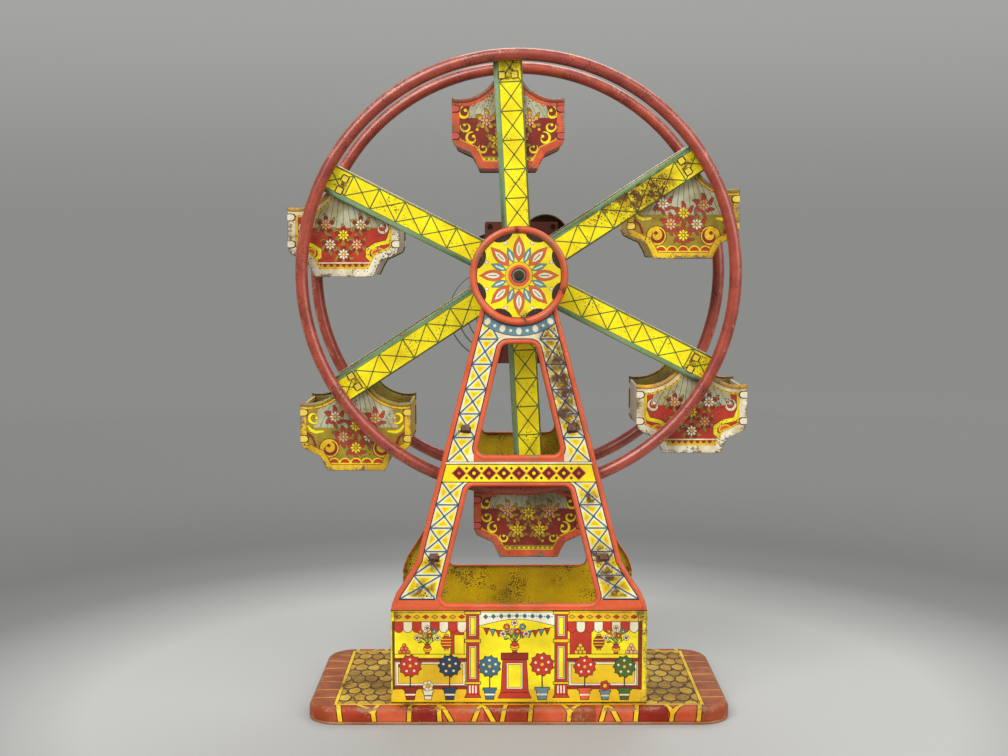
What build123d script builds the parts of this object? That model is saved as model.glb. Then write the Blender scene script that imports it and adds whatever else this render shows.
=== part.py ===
"""Wind-up tin ferris wheel: stand, two-ring wheel, six hanging cars and spring motor.

Millimetres, Z up. The origin is the middle of the base on the surface it stands on,
X runs to the right seen from the front, and the front of the toy faces -Y.
"""

from build123d import *
from math import cos, hypot, radians, sin
import os

os.makedirs("parts", exist_ok=True)

# ------------------------------------------------------------------ driving sizes
TIN = 0.5  # sheet of every stamping
HUB_HEIGHT = 279.5  # wheel axis above the table

BASE_LENGTH, BASE_DEPTH, BASE_HEIGHT = 266.0, 139.0, 10.5
BASE_CORNER = 20.0
BASE_SHOULDER = 3.8  # bevel round the top
HEM_WIDTH, HEM_HEIGHT = 1.3, 1.6  # folded edge that stands on the table

TOWER_FACE = 58.3  # outer face of each tower from the middle plane
TOWER_TOP_RADIUS = 29.5
FLANGE = 4.0  # depth of the turned-in edges
TOWER_SIDE = [  # right-hand edge: half width, height
    (80.5, 69.8),
    (79.4, 74.6),
    (76.8, 80.9),
    (73.0, 86.6),
    (68.0, 94.4),
    (63.6, 102.1),
    (61.5, 112.0),
]
NECK = (23.1, 261.2)  # where the leg meets the round top
UPPER_WINDOW = [(26.8, 168.0), (10.2, 237.3)]
LOWER_WINDOW = [(49.6, 74.0), (31.4, 148.5)]
WINDOW_CORNER = 4.5
FOOT_TABS = [-60.0, 0.0, 60.0]
TAB_WIDTH, TAB_FOLD = 7.0, 4.5  # foot tab and how far it is bent in under the base
SLOT_PLAY = 0.2  # round a tab in its slot
BRACE_TOP, BRACE_FOOT = (194.0, 6.5), (92.0, 8.0)  # height, half width
BRACE_TABS = [184.0, 103.0]
BRACE_TAB, BRACE_TAB_LENGTH = 5.0, 3.6

RING_RADIUS = 136.1  # centre line of the tube
TUBE_RADIUS = 3.9
TUBE_WALL = 0.4
TUBE_SEAM = 0.5
SPOKE_PLANE = 34.3  # outer face of the spokes, which the tube touches
RING_PLANE = SPOKE_PLANE + TUBE_RADIUS
SPOKE_WIDTH = 18.0
SPOKE_FLANGE = 3.6
SPOKE_BREAK = 0.22  # broken corners of the strip's ends
SPOKE_INNER, SPOKE_OUTER = 17.0, 138.6
WHEEL_LEAN = 3.0  # the wheel stands this far past upright
SPOKES = 6
SPOKE_ANGLES = [90 + WHEEL_LEAN + 360 / SPOKES * k for k in range(SPOKES)]

HANGER_RADIUS = 124.0  # car pivots from the wheel axis
HANGER_TUBE, HANGER_BORE = 2.6, 2.2
HANGER_TAB, HANGER_TAB_WIDTH = 3.4, 3.6

CAR_FACE = 30.0  # outer face of each car panel from the middle plane
CAR_EYE, CAR_EYE_JOIN = 7.5, (5.9, 4.63)
CAR_SHOULDER = 20.0  # distance from the middle where the hollow rim's arc is fixed
RIM_RADIUS, RIM_CENTRE = 24.3, (30.0, 10.1)
CAR_CORNER = (35.3, -13.6)
CAR_SIDE = [
    (35.3, -39.5),
    (33.6, -43.3),
    (28.5, -45.8),
    (23.6, -48.0),
    (21.0, -52.4),
    (18.6, -57.8),
]
CAR_OVERALL = (80.0, 70.0)
TUB_INSET = 0.8
TUB_TOP = -15.8

AXLE_RADIUS, AXLE_CHAMFER = 3.2, 0.6
RUNNING = 0.05  # radial clearance of every bearing
AXLE_FRONT, AXLE_REAR = -62.2, 82.2
BUSH_RADIUS, BUSH_LENGTH = 4.1, 6.2
BUSH_FLANGE, BUSH_FLANGE_THICK = 6.7, 1.0
AXLE_CLEAR = 3.8  # hole that the axle passes without touching
BUSH_END = 59.0  # outer end of each bush from the middle plane
COLLARS = [-51.9, 50.4]  # front of each collar on the axle, inside the bushes
COLLAR_RADIUS, COLLAR_LENGTH = 5.2, 1.5
HUB_DISC_RADIUS, HUB_DISC_THICK = 24.0, 0.8
HUB_TUBE_RADIUS = 6.0
FACE_DISC = 60.2  # middle of the dial's rolled rim from the middle plane
FACE_RIM, FACE_RIM_TUBE, FACE_HOLE = 28.4, 1.9, 4.4

# Motor: places are X and height from the wheel axis, Y from the middle plane.
MOTOR_LEFT, MOTOR_RIGHT, MOTOR_FOOT, MOTOR_TOP = -22.5, 28.0, -64.0, 34.0
MOTOR_PLATE, MOTOR_CORNER = 0.8, 1.5
MOTOR_FRONT, MOTOR_REAR = 59.3, 78.0
PILLARS = [(-19.0, 30.6), (24.6, 30.6), (25.0, -6.0), (24.2, -60.0)]
PILLAR_RADIUS, PILLAR_NECK = 2.0, 1.2
HEAD_RADIUS, HEAD_THICK = 1.8, 0.6  # riveted-over end of a pillar
RIVETS = [(-18.0, 4.0), (18.0, 8.0), (-18.0, -14.0), (20.0, -20.0)]
RIVET_RADIUS, RIVET_HEAD, RIVET_SHOULDER, RIVET_END = 1.2, 1.9, 2.2, 0.5
DIAL_TABS = [(-7.0, -25.6), (7.0, -25.6)]
GREAT_TEETH, AXLE_TEETH, DRIVE_MODULE = 48, 12, 1.0
TRAIN_TEETH, FLY_TEETH, TRAIN_MODULE = 48, 12, 0.8
ARBOR = (0.0, -30.0)
FLY_ANGLE = 146.4  # direction of the fly's arbor from the axle
ARBOR_RADIUS, ARBOR_NECK = 2.5, 2.0
ARBOR_HEAD, ARBOR_HEAD_THICK = 3.2, 1.2
END_PLAY = 0.2
ARBOR_BODY = MOTOR_REAR - MOTOR_FRONT - MOTOR_PLATE - 2 * END_PLAY
GREAT_PLANE, GREAT_THICK = 64.0, 1.5
GREAT_HOLE, GREAT_HOLES_AT = 4.0, 15.5
PINION_PLANE, PINION_LENGTH = 63.2, 3.0
TRAIN_PLANE, TRAIN_THICK = 61.0, 1.5
RATCHET_PLANE, RATCHET_THICK = 66.0, 1.2
FLY_PINION_PLANE, FLY_PINION_LENGTH = 60.5, 2.5
FLY_PLANE, FLY_THICK = 70.0, 1.2
FLY_DISC, FLY_NECK = 12.5, 0.8
FLY_HOLE, FLY_HOLES_AT = 2.2, 8.0
RATCHET_TEETH, RATCHET_TIP, RATCHET_ROOT = 12, 9.0, 7.2
CLICK_AT = 13.5, 110.0  # pivot radius and direction from the arbor
CLICK_STUD, CLICK_STUD_LENGTH, CLICK_BOSS = 0.9, 2.1, 2.0
CLICK_OUTLINE = [(3.5, 6.62), (-1.0, 10.1), (-4.8, 10.75), (-4.2, 14.6), (1.5, 12.2), (4.5, 8.6)]
SPRING_LOOPS, SPRING_STRIP, SPRING_WIDTH = 8, 0.35, 8.0
SPRING_FIRST, SPRING_INNER_STEP = 4.0, 0.4
SPRING_SLACK = 1.2  # power by which the loops open out to the left
SPRING_RIGHT, SPRING_LEFT = 12.4, 47.7  # reach of the slack outer loop from the arbor
SPRING_FRONT = 68.6
BELL_AT, BELL_RADIUS, BELL_DEPTH = (20.0, 23.0), 16.5, 9.0
BELL_RIM, BELL_POST, BELL_WALL = 80.3, 1.8, 0.6
BELL_NUT, BELL_NUT_THICK = 3.2, 1.4
HAMMER_AT, HAMMER_HEAD = (-12.0, 14.0), (0.6, 24.0)
HAMMER_NOSE = 62.6  # direction from the axle in which the nose rides on the trip wheel
HAMMER_ELBOW, HAMMER_TIP = 10.2, 6.75  # distance of the nose's two ends from the axle
HAMMER_STUD_LENGTH = 3.0
HAMMER_STUD, HAMMER_BOSS, HAMMER_WIRE, HAMMER_KNOB = 1.2, 2.6, 1.4, 2.2
TRIP_TEETH, TRIP_TIP, TRIP_ROOT = 12, 6.6, 4.8
TRIP_SPREAD, TRIP_POINT = 10.0, 2.0  # half angles of a tooth's foot and point
TRIP_PLANE, TRIP_THICK = 79.6, 1.5
CRANK_LENGTH, CRANK_WIDTH, CRANK_PLANE, CRANK_THICK = 30.0, 8.0, 83.5, 2.0
KNOB_RADIUS, KNOB_LENGTH, KNOB_PIN = 4.2, 13.0, 1.5
KNOB_FOOT, KNOB_WAIST, KNOB_CROWN = 3.0, 2.6, 3.3
KNOB_PIN_HEAD, KNOB_PIN_HEAD_THICK = 2.5, 0.8
KNOB_PLAY = 0.5  # between the arm and the knob, and again under the pin's head


# ------------------------------------------------------------------ shared planes
def side_plane(side, distance):
    """Upright plane facing out of the front (-1) or rear (1); local Y is height."""
    return Plane(origin=(0, side * distance, 0), x_dir=(-side, 0, 0), z_dir=(0, side, 0))


def hub_plane(y, x=0.0, z=0.0):
    """Upright plane that faces the rear, at a place measured from the wheel axis."""
    return Plane(origin=(x, y, HUB_HEIGHT + z), x_dir=(-1, 0, 0), z_dir=(0, 1, 0))


def front_plane(y, x=0.0, z=0.0, turn=0.0):
    """Upright plane that faces the front, X turned anticlockwise from the right."""
    along = (cos(radians(turn)), 0, sin(radians(turn)))
    return Plane(origin=(x, y, HUB_HEIGHT + z), x_dir=along, z_dir=(0, -1, 0))


def polar(radius, angle):
    return radius * cos(radians(angle)), radius * sin(radians(angle))


def finish(piece, label):
    piece.part.label = label
    export_step(piece.part, f"parts/{label}.step")


# ------------------------------------------------------------------ base
with BuildPart() as base_pan:
    with BuildSketch():
        RectangleRounded(BASE_LENGTH, BASE_DEPTH, BASE_CORNER)
    extrude(amount=BASE_HEIGHT)
    fillet(base_pan.faces().sort_by(Axis.Z)[-1].edges(), BASE_SHOULDER)
    offset(amount=-TIN, openings=base_pan.faces().sort_by(Axis.Z)[0])
    with BuildSketch():
        RectangleRounded(BASE_LENGTH, BASE_DEPTH, BASE_CORNER)
        offset(amount=-HEM_WIDTH, mode=Mode.SUBTRACT)
    extrude(amount=HEM_HEIGHT)
    slot_rows = [(x, side * (TOWER_FACE - TIN / 2)) for x in FOOT_TABS for side in (-1, 1)]
    with BuildSketch(Plane.XY.offset(BASE_HEIGHT)):
        with Locations(*slot_rows):
            Rectangle(TAB_WIDTH + 2 * SLOT_PLAY, TIN + SLOT_PLAY)
    extrude(amount=-2 * TIN, mode=Mode.SUBTRACT)
finish(base_pan, "base_pan")


# ------------------------------------------------------------------ towers
def window(points):
    """Trapezoid opening with rounded corners."""
    (low_half, low), (high_half, high) = points
    corners = [(-low_half, low), (low_half, low), (high_half, high), (-high_half, high)]
    with BuildSketch() as opening:
        with BuildLine():
            Polyline(*corners, close=True)
        make_face()
        fillet(opening.vertices(), WINDOW_CORNER)
    return opening.sketch


def tower_face():
    """Outline of one tower without its windows."""
    right = [(80.5, BASE_HEIGHT)] + TOWER_SIDE + [NECK]
    left = [(-x, z) for x, z in reversed(right)]
    with BuildSketch() as face:
        with BuildLine():
            Polyline(*(right + left), close=True)
        make_face()
        with Locations((0, HUB_HEIGHT)):
            Circle(TOWER_TOP_RADIUS)
        add(window(UPPER_WINDOW), mode=Mode.SUBTRACT)
        add(window(LOWER_WINDOW), mode=Mode.SUBTRACT)
    return face.sketch


def leg_middle(height):
    """Middle of a leg between its outer edge and the windows."""
    (x0, z0), (x1, z1) = TOWER_SIDE[-1], NECK
    outer = x0 + (x1 - x0) * (height - z0) / (z1 - z0)
    (x0, z0), (x1, z1) = (LOWER_WINDOW if height < 160 else UPPER_WINDOW)
    inner = x0 + (x1 - x0) * (height - z0) / (z1 - z0)
    return (outer + inner) / 2


TOWER = tower_face()
BRACE_SLOTS = [(side * leg_middle(z), z) for z in BRACE_TABS for side in (-1, 1)]


def build_tower(side, fixings, label):
    """Pressed sheet with turned-in edges, foot tabs and holes for bush, tabs and rivets."""
    outside = side_plane(side, TOWER_FACE)
    with BuildPart() as tower:
        with BuildSketch(outside):
            add(TOWER)
        extrude(amount=-TIN)
        with BuildSketch(outside):
            add(TOWER)
            offset(TOWER, amount=-TIN, mode=Mode.SUBTRACT)
        extrude(amount=-FLANGE)
        with BuildSketch(outside):
            with Locations((0, HUB_HEIGHT)):
                Circle(BUSH_RADIUS)
            with Locations(*BRACE_SLOTS):
                Rectangle(BRACE_TAB + 2 * SLOT_PLAY, TIN + 2 * SLOT_PLAY)
            with Locations(*[(-side * x, HUB_HEIGHT + z) for x, z in fixings]):
                Circle(RIVET_RADIUS)
        extrude(amount=-TIN, mode=Mode.SUBTRACT)
        # foot tabs through the base, bent flat under its top
        for x in FOOT_TABS:
            with Locations((x, side * (TOWER_FACE - TIN / 2), BASE_HEIGHT - TIN)):
                Box(TAB_WIDTH, TIN, 2 * TIN)
            with Locations((x, side * (TOWER_FACE - TIN - TAB_FOLD / 2), BASE_HEIGHT - 1.5 * TIN)):
                Box(TAB_WIDTH, TAB_FOLD, TIN)
    finish(tower, label)


build_tower(-1, DIAL_TABS, "front_tower")
build_tower(1, RIVETS, "rear_tower")


# Flat strips that close each leg from behind, with tabs bent over the tower's face.
with BuildPart() as leg_braces:
    for side in (-1, 1):
        for hand in (-1, 1):
            (top, top_half), (foot, foot_half) = BRACE_TOP, BRACE_FOOT
            strip = [
                (hand * (leg_middle(foot) - foot_half), foot),
                (hand * (leg_middle(foot) + foot_half), foot),
                (hand * (leg_middle(top) + top_half), top),
                (hand * (leg_middle(top) - top_half), top),
            ]
            with BuildSketch(side_plane(side, TOWER_FACE - FLANGE)):
                with BuildLine():
                    Polyline(*strip, close=True)
                make_face()
            extrude(amount=-TIN)
            for z in BRACE_TABS:
                at = (hand * leg_middle(z), z)
                with BuildSketch(side_plane(side, TOWER_FACE - FLANGE - TIN)):
                    with Locations(at):
                        Rectangle(BRACE_TAB, TIN)
                extrude(amount=FLANGE + 2 * TIN)
                with BuildSketch(side_plane(side, TOWER_FACE)):
                    with Locations((at[0], at[1] + (BRACE_TAB_LENGTH - TIN) / 2)):
                        Rectangle(BRACE_TAB, BRACE_TAB_LENGTH)
                extrude(amount=TIN)
finish(leg_braces, "leg_braces")


# Round dial on the front tower: flat field, rolled rim and a hole for the axle's end.
with BuildPart() as hub_face_plate:
    with BuildSketch(side_plane(-1, FACE_DISC)):
        with Locations((0, HUB_HEIGHT)):
            Circle(FACE_RIM)
            Circle(FACE_HOLE, mode=Mode.SUBTRACT)
    extrude(amount=TIN)
    with BuildSketch(Plane(origin=(0, 0, HUB_HEIGHT), x_dir=(1, 0, 0), z_dir=(0, 0, 1))):
        with Locations((FACE_RIM, -FACE_DISC)):
            Circle(FACE_RIM_TUBE)
    revolve(axis=Axis((0, 0, HUB_HEIGHT), (0, 1, 0)))
    with BuildSketch(side_plane(-1, FACE_DISC)):
        with Locations(*[(x, HUB_HEIGHT + z) for x, z in DIAL_TABS]):
            Circle(RIVET_RADIUS)
    extrude(amount=-(FACE_DISC - TOWER_FACE + TIN))
    with BuildSketch(side_plane(-1, TOWER_FACE - TIN)):
        with Locations(*[(x, HUB_HEIGHT + z) for x, z in DIAL_TABS]):
            Circle(RIVET_HEAD)
    extrude(amount=-TIN)
finish(hub_face_plate, "hub_face_plate")


with BuildPart() as axle_bushes:
    for side in (-1, 1):
        with BuildSketch(side_plane(side, BUSH_END - BUSH_LENGTH)):
            with Locations((0, HUB_HEIGHT)):
                Circle(BUSH_RADIUS)
                Circle(AXLE_RADIUS + RUNNING, mode=Mode.SUBTRACT)
        extrude(amount=BUSH_LENGTH)
        with BuildSketch(side_plane(side, TOWER_FACE - TIN)):
            with Locations((0, HUB_HEIGHT)):
                Circle(BUSH_FLANGE)
                Circle(BUSH_RADIUS, mode=Mode.SUBTRACT)
        extrude(amount=-BUSH_FLANGE_THICK)
finish(axle_bushes, "axle_bushes")


# ------------------------------------------------------------------ wheel
def build_ring(side, label):
    """Rolled tin tube with its seam turned to the hub."""
    middle = (RING_RADIUS, side * RING_PLANE)
    with BuildPart() as ring:
        with BuildSketch(Plane(origin=(0, 0, HUB_HEIGHT), x_dir=(1, 0, 0), z_dir=(0, 0, 1))):
            with Locations(middle):
                Circle(TUBE_RADIUS)
                Circle(TUBE_RADIUS - TUBE_WALL, mode=Mode.SUBTRACT)
            with Locations((RING_RADIUS - TUBE_RADIUS, side * RING_PLANE)):
                Rectangle(2.0, TUBE_SEAM, mode=Mode.SUBTRACT)
        revolve(axis=Axis((0, 0, HUB_HEIGHT), (0, 1, 0)))
    finish(ring, label)


build_ring(-1, "ring_front")
build_ring(1, "ring_rear")


def spoke_plane(side, angle, distance):
    """Plane of a wheel side with local X along the spoke, facing outwards."""
    along = (cos(radians(angle)), 0, sin(radians(angle)))
    origin = (0, side * distance, HUB_HEIGHT)
    return Plane(origin=origin, x_dir=along, z_dir=(0, side, 0))


def build_spoke(side, angle, label):
    """Channel strip with two slots near its end for the hanger tube's tabs."""
    length = SPOKE_OUTER - SPOKE_INNER
    middle = (SPOKE_OUTER + SPOKE_INNER) / 2
    wall = (HANGER_TUBE + HANGER_BORE) / 2
    with BuildPart() as spoke:
        with BuildSketch(spoke_plane(side, angle, SPOKE_PLANE)):
            with Locations((middle, 0)):
                Rectangle(length, SPOKE_WIDTH)
            with Locations((HANGER_RADIUS, wall), (HANGER_RADIUS, -wall)):
                Rectangle(HANGER_TAB_WIDTH + SLOT_PLAY, TIN + SLOT_PLAY, mode=Mode.SUBTRACT)
        extrude(amount=-TIN)
        with BuildSketch(spoke_plane(side, angle, SPOKE_PLANE)):
            edge = (SPOKE_WIDTH - TIN) / 2
            with Locations((middle, edge), (middle, -edge)):
                Rectangle(length, TIN)
        extrude(amount=-SPOKE_FLANGE)
        long_corners = spoke.edges().filter_by(Axis.Y).group_by(SortBy.LENGTH)[-1]
        chamfer(long_corners, SPOKE_BREAK)
    finish(spoke, label)


for number, angle in enumerate(SPOKE_ANGLES, 1):
    build_spoke(-1, angle, f"spoke_front_{number}")
    build_spoke(1, angle, f"spoke_rear_{number}")


with BuildPart() as hub_discs:
    for side in (-1, 1):
        with BuildSketch(side_plane(side, SPOKE_PLANE)):
            with Locations((0, HUB_HEIGHT)):
                Circle(HUB_DISC_RADIUS)
                Circle(AXLE_RADIUS, mode=Mode.SUBTRACT)
        extrude(amount=HUB_DISC_THICK)
finish(hub_discs, "hub_discs")


with BuildPart() as hub_tube:
    with BuildSketch(hub_plane(-SPOKE_PLANE)):
        Circle(HUB_TUBE_RADIUS)
        Circle(AXLE_RADIUS, mode=Mode.SUBTRACT)
    extrude(amount=2 * SPOKE_PLANE)
finish(hub_tube, "hub_tube")


with BuildPart() as wheel_axle:
    with BuildSketch(hub_plane(AXLE_FRONT)):
        Circle(AXLE_RADIUS)
    extrude(amount=AXLE_REAR - AXLE_FRONT)
    chamfer(wheel_axle.edges().filter_by(GeomType.CIRCLE), AXLE_CHAMFER)
    for y in COLLARS:
        with BuildSketch(hub_plane(y)):
            Circle(COLLAR_RADIUS)
        extrude(amount=COLLAR_LENGTH)
finish(wheel_axle, "wheel_axle")


def build_hanger_tube(angle, label):
    """Rolled tube between the rings, fixed by two bent tabs at each end."""
    x, z = polar(HANGER_RADIUS, angle)
    inside = SPOKE_PLANE - TIN
    wall = (HANGER_TUBE + HANGER_BORE) / 2
    tin = HANGER_TUBE - HANGER_BORE
    with BuildPart() as tube:
        with BuildSketch(front_plane(0, x, z, angle)):
            Circle(HANGER_TUBE)
            Circle(HANGER_BORE, mode=Mode.SUBTRACT)
        extrude(amount=inside, both=True)
        for side in (-1, 1):
            facing = Plane(
                origin=(x, side * inside, HUB_HEIGHT + z),
                x_dir=(cos(radians(angle)), 0, sin(radians(angle))),
                z_dir=(0, side, 0),
            )
            with BuildSketch(facing.offset(-TIN)):
                with Locations((0, wall), (0, -wall)):
                    Rectangle(HANGER_TAB_WIDTH / 2, tin)
            extrude(amount=TIN)
            with BuildSketch(facing):
                with Locations((0, wall), (0, -wall)):
                    Rectangle(HANGER_TAB_WIDTH, tin)
            extrude(amount=2 * TIN)
            with BuildSketch(facing.offset(TIN)):
                reach = wall + HANGER_TAB / 2
                with Locations((0, reach), (0, -reach)):
                    Rectangle(HANGER_TAB_WIDTH, HANGER_TAB)
            extrude(amount=TIN)
    finish(tube, label)


for number, angle in enumerate(SPOKE_ANGLES, 1):
    build_hanger_tube(angle, f"hanger_tube_{number}")


# ------------------------------------------------------------------ cars
def rim_height(x):
    """Height of the hollow top rim at a distance from the car's middle."""
    return RIM_CENTRE[1] - (RIM_RADIUS**2 - (x - RIM_CENTRE[0]) ** 2) ** 0.5


def car_outline():
    """Panel outline about the pivot: eye, hollow shoulders, sides and stepped foot."""
    join = CAR_EYE_JOIN
    shoulder = (CAR_SHOULDER, rim_height(CAR_SHOULDER))
    with BuildSketch() as outline:
        with BuildLine():
            ThreePointArc(join, (0, CAR_EYE), (-join[0], join[1]))
            for hand in (-1, 1):
                corner = (hand * CAR_CORNER[0], CAR_CORNER[1])
                ThreePointArc((hand * join[0], join[1]), (hand * shoulder[0], shoulder[1]), corner)
                Polyline(corner, *[(hand * x, z) for x, z in CAR_SIDE])
            Line((CAR_SIDE[-1][0], CAR_SIDE[-1][1]), (-CAR_SIDE[-1][0], CAR_SIDE[-1][1]))
        make_face()
    return outline.sketch


CAR = car_outline()


def build_car(number, angle):
    x, z = polar(HANGER_RADIUS, angle)
    with BuildPart() as panels:
        for side in (-1, 1):
            facing = Plane(
                origin=(x, side * CAR_FACE, HUB_HEIGHT + z), x_dir=(-side, 0, 0), z_dir=(0, side, 0)
            )
            with BuildSketch(facing):
                add(CAR)
                Circle(HANGER_TUBE + RUNNING, mode=Mode.SUBTRACT)
            extrude(amount=-TIN)
    finish(panels, f"gondola_{number}_panels")

    with BuildPart() as tub:
        with BuildSketch(front_plane(CAR_FACE - TIN, x, z)):
            offset(CAR, amount=-TUB_INSET)
            offset(CAR, amount=-TUB_INSET - TIN, mode=Mode.SUBTRACT)
            with Locations((0, TUB_TOP)):
                Rectangle(*CAR_OVERALL, align=(Align.CENTER, Align.MIN), mode=Mode.SUBTRACT)
        extrude(amount=2 * (CAR_FACE - TIN))
    finish(tub, f"gondola_{number}_tub")


for number, angle in enumerate(SPOKE_ANGLES, 1):
    build_car(number, angle)


# ------------------------------------------------------------------ motor
def gear(teeth, module, turn):
    """Spur gear outline with straight-sided teeth, one of them pointing to turn."""
    pitch = module * teeth / 2
    root, tip = pitch - 1.0 * module, pitch + 0.75 * module
    thick = 0.40 * 3.1416 * module
    with BuildSketch() as outline:
        Circle(root)
        with PolarLocations(0, teeth, turn):
            with BuildLine():
                Polyline(
                    (root - 0.5, -0.75 * thick),
                    (root, -0.72 * thick),
                    (tip, -0.27 * thick),
                    (tip, 0.27 * thick),
                    (root, 0.72 * thick),
                    (root - 0.5, 0.75 * thick),
                    close=True,
                )
            make_face()
    return outline.sketch


FLY = polar(TRAIN_MODULE * (TRAIN_TEETH + FLY_TEETH) / 2, FLY_ANGLE)
PLATE_MIDDLE = ((MOTOR_LEFT + MOTOR_RIGHT) / 2, (MOTOR_FOOT + MOTOR_TOP) / 2)


def motor_plate(axle_hole, fixings):
    """Motor plate outline with its bearing holes and the holes for its fixings."""
    holes = [
        (axle_hole, [(0, 0)]),
        (ARBOR_NECK + RUNNING, [ARBOR]),
        (FLY_NECK + RUNNING, [FLY]),
        (PILLAR_NECK, PILLARS),
        (RIVET_RADIUS, fixings),
    ]
    with BuildSketch() as plate:
        with Locations(PLATE_MIDDLE):
            RectangleRounded(MOTOR_RIGHT - MOTOR_LEFT, MOTOR_TOP - MOTOR_FOOT, MOTOR_CORNER)
        for radius, places in holes:
            with Locations(*places):
                Circle(radius, mode=Mode.SUBTRACT)
    return plate.sketch


with BuildPart() as motor_front_plate:
    with BuildSketch(front_plane(MOTOR_FRONT)):
        add(motor_plate(AXLE_CLEAR, RIVETS))
    extrude(amount=-MOTOR_PLATE)
finish(motor_front_plate, "motor_front_plate")


with BuildPart() as motor_rear_plate:
    with BuildSketch(front_plane(MOTOR_REAR)):
        add(motor_plate(AXLE_RADIUS + RUNNING, [BELL_AT]))
    extrude(amount=-MOTOR_PLATE)
    with BuildSketch(front_plane(MOTOR_REAR + MOTOR_PLATE)):
        with Locations(HAMMER_AT):
            Circle(HAMMER_STUD)
    extrude(amount=-HAMMER_STUD_LENGTH)
finish(motor_rear_plate, "motor_rear_plate")


with BuildPart() as motor_pillars:
    inside = MOTOR_FRONT + MOTOR_PLATE
    steps = [
        (MOTOR_FRONT - HEAD_THICK, HEAD_THICK, HEAD_RADIUS),
        (MOTOR_FRONT, MOTOR_PLATE, PILLAR_NECK),
        (inside, MOTOR_REAR - inside, PILLAR_RADIUS),
        (MOTOR_REAR, MOTOR_PLATE, PILLAR_NECK),
        (MOTOR_REAR + MOTOR_PLATE, HEAD_THICK, HEAD_RADIUS),
    ]
    for y, length, radius in steps:
        with BuildSketch(front_plane(y)):
            with Locations(*PILLARS):
                Circle(radius)
        extrude(amount=-length)
finish(motor_pillars, "motor_pillars")


# Shouldered rivets that hold the motor's front plate off the rear tower.
with BuildPart() as motor_rivets:
    steps = [
        (TOWER_FACE - TIN - HEAD_THICK, HEAD_THICK, RIVET_HEAD),
        (TOWER_FACE - TIN, TIN, RIVET_RADIUS),
        (TOWER_FACE, MOTOR_FRONT - TOWER_FACE, RIVET_SHOULDER),
        (MOTOR_FRONT, MOTOR_PLATE, RIVET_RADIUS),
        (MOTOR_FRONT + MOTOR_PLATE, RIVET_END, HEAD_RADIUS),
    ]
    for y, length, radius in steps:
        with BuildSketch(front_plane(y)):
            with Locations(*RIVETS):
                Circle(radius)
        extrude(amount=-length)
finish(motor_rivets, "motor_rivets")


# ------------------------------------------------------------------ gear train
def build_wheel(outline, bore, y, thickness, label):
    """Flat toothed wheel pressed on the wheel axle or on an arbor."""
    with BuildPart() as wheel:
        with BuildSketch(front_plane(y)):
            add(outline)
            Circle(bore, mode=Mode.SUBTRACT)
        extrude(amount=-thickness)
    finish(wheel, label)


build_wheel(
    gear(AXLE_TEETH, DRIVE_MODULE, -90),
    AXLE_RADIUS, PINION_PLANE, PINION_LENGTH, "axle_pinion",
)
build_wheel(
    gear(TRAIN_TEETH, TRAIN_MODULE, FLY_ANGLE + 180 / TRAIN_TEETH),
    AXLE_RADIUS, TRAIN_PLANE, TRAIN_THICK, "train_wheel",
)


def star(teeth, tip, root, turn):
    """Pointed trip wheel: each tooth rises from two root points to a narrow tip."""
    corners = []
    for tooth in range(teeth):
        middle = turn + 360 / teeth * tooth
        corners += [
            polar(root, middle - TRIP_SPREAD),
            polar(tip, middle - TRIP_POINT),
            polar(tip, middle + TRIP_POINT),
            polar(root, middle + TRIP_SPREAD),
        ]
    with BuildSketch() as outline:
        with BuildLine():
            Polyline(*corners, close=True)
        make_face()
    return outline.sketch


build_wheel(
    star(TRIP_TEETH, TRIP_TIP, TRIP_ROOT, HAMMER_NOSE + 180 / TRIP_TEETH),
    AXLE_RADIUS, TRIP_PLANE, TRIP_THICK, "bell_trip",
)


with BuildPart() as great_wheel:
    with BuildSketch(front_plane(GREAT_PLANE, *ARBOR)):
        add(gear(GREAT_TEETH, DRIVE_MODULE, 90 + 180 / GREAT_TEETH))
        Circle(ARBOR_RADIUS + RUNNING, mode=Mode.SUBTRACT)
        with PolarLocations(GREAT_HOLES_AT, 3, CLICK_AT[1] + 60):
            Circle(GREAT_HOLE, mode=Mode.SUBTRACT)
    extrude(amount=-GREAT_THICK)
    with BuildSketch(front_plane(GREAT_PLANE + GREAT_THICK, *ARBOR)):
        with Locations(polar(*CLICK_AT)):
            Circle(CLICK_STUD)
    extrude(amount=-CLICK_STUD_LENGTH)
finish(great_wheel, "great_wheel")


with BuildPart() as ratchet_wheel:
    teeth = []
    for tooth in range(RATCHET_TEETH):
        face = 360 / RATCHET_TEETH * tooth
        teeth += [polar(RATCHET_TIP, face), polar(RATCHET_ROOT, face)]
    with BuildSketch(front_plane(RATCHET_PLANE, *ARBOR)):
        with BuildLine():
            Polyline(*teeth, close=True)
        make_face()
        Circle(ARBOR_RADIUS, mode=Mode.SUBTRACT)
    extrude(amount=-RATCHET_THICK)
finish(ratchet_wheel, "ratchet_wheel")


with BuildPart() as click:
    with BuildSketch(front_plane(RATCHET_PLANE, *ARBOR)):
        with BuildLine():
            Polyline(*CLICK_OUTLINE, close=True)
        make_face()
        with Locations(polar(*CLICK_AT)):
            Circle(CLICK_BOSS)
            Circle(CLICK_STUD + RUNNING, mode=Mode.SUBTRACT)
    extrude(amount=-RATCHET_THICK)
finish(click, "click")


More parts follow.
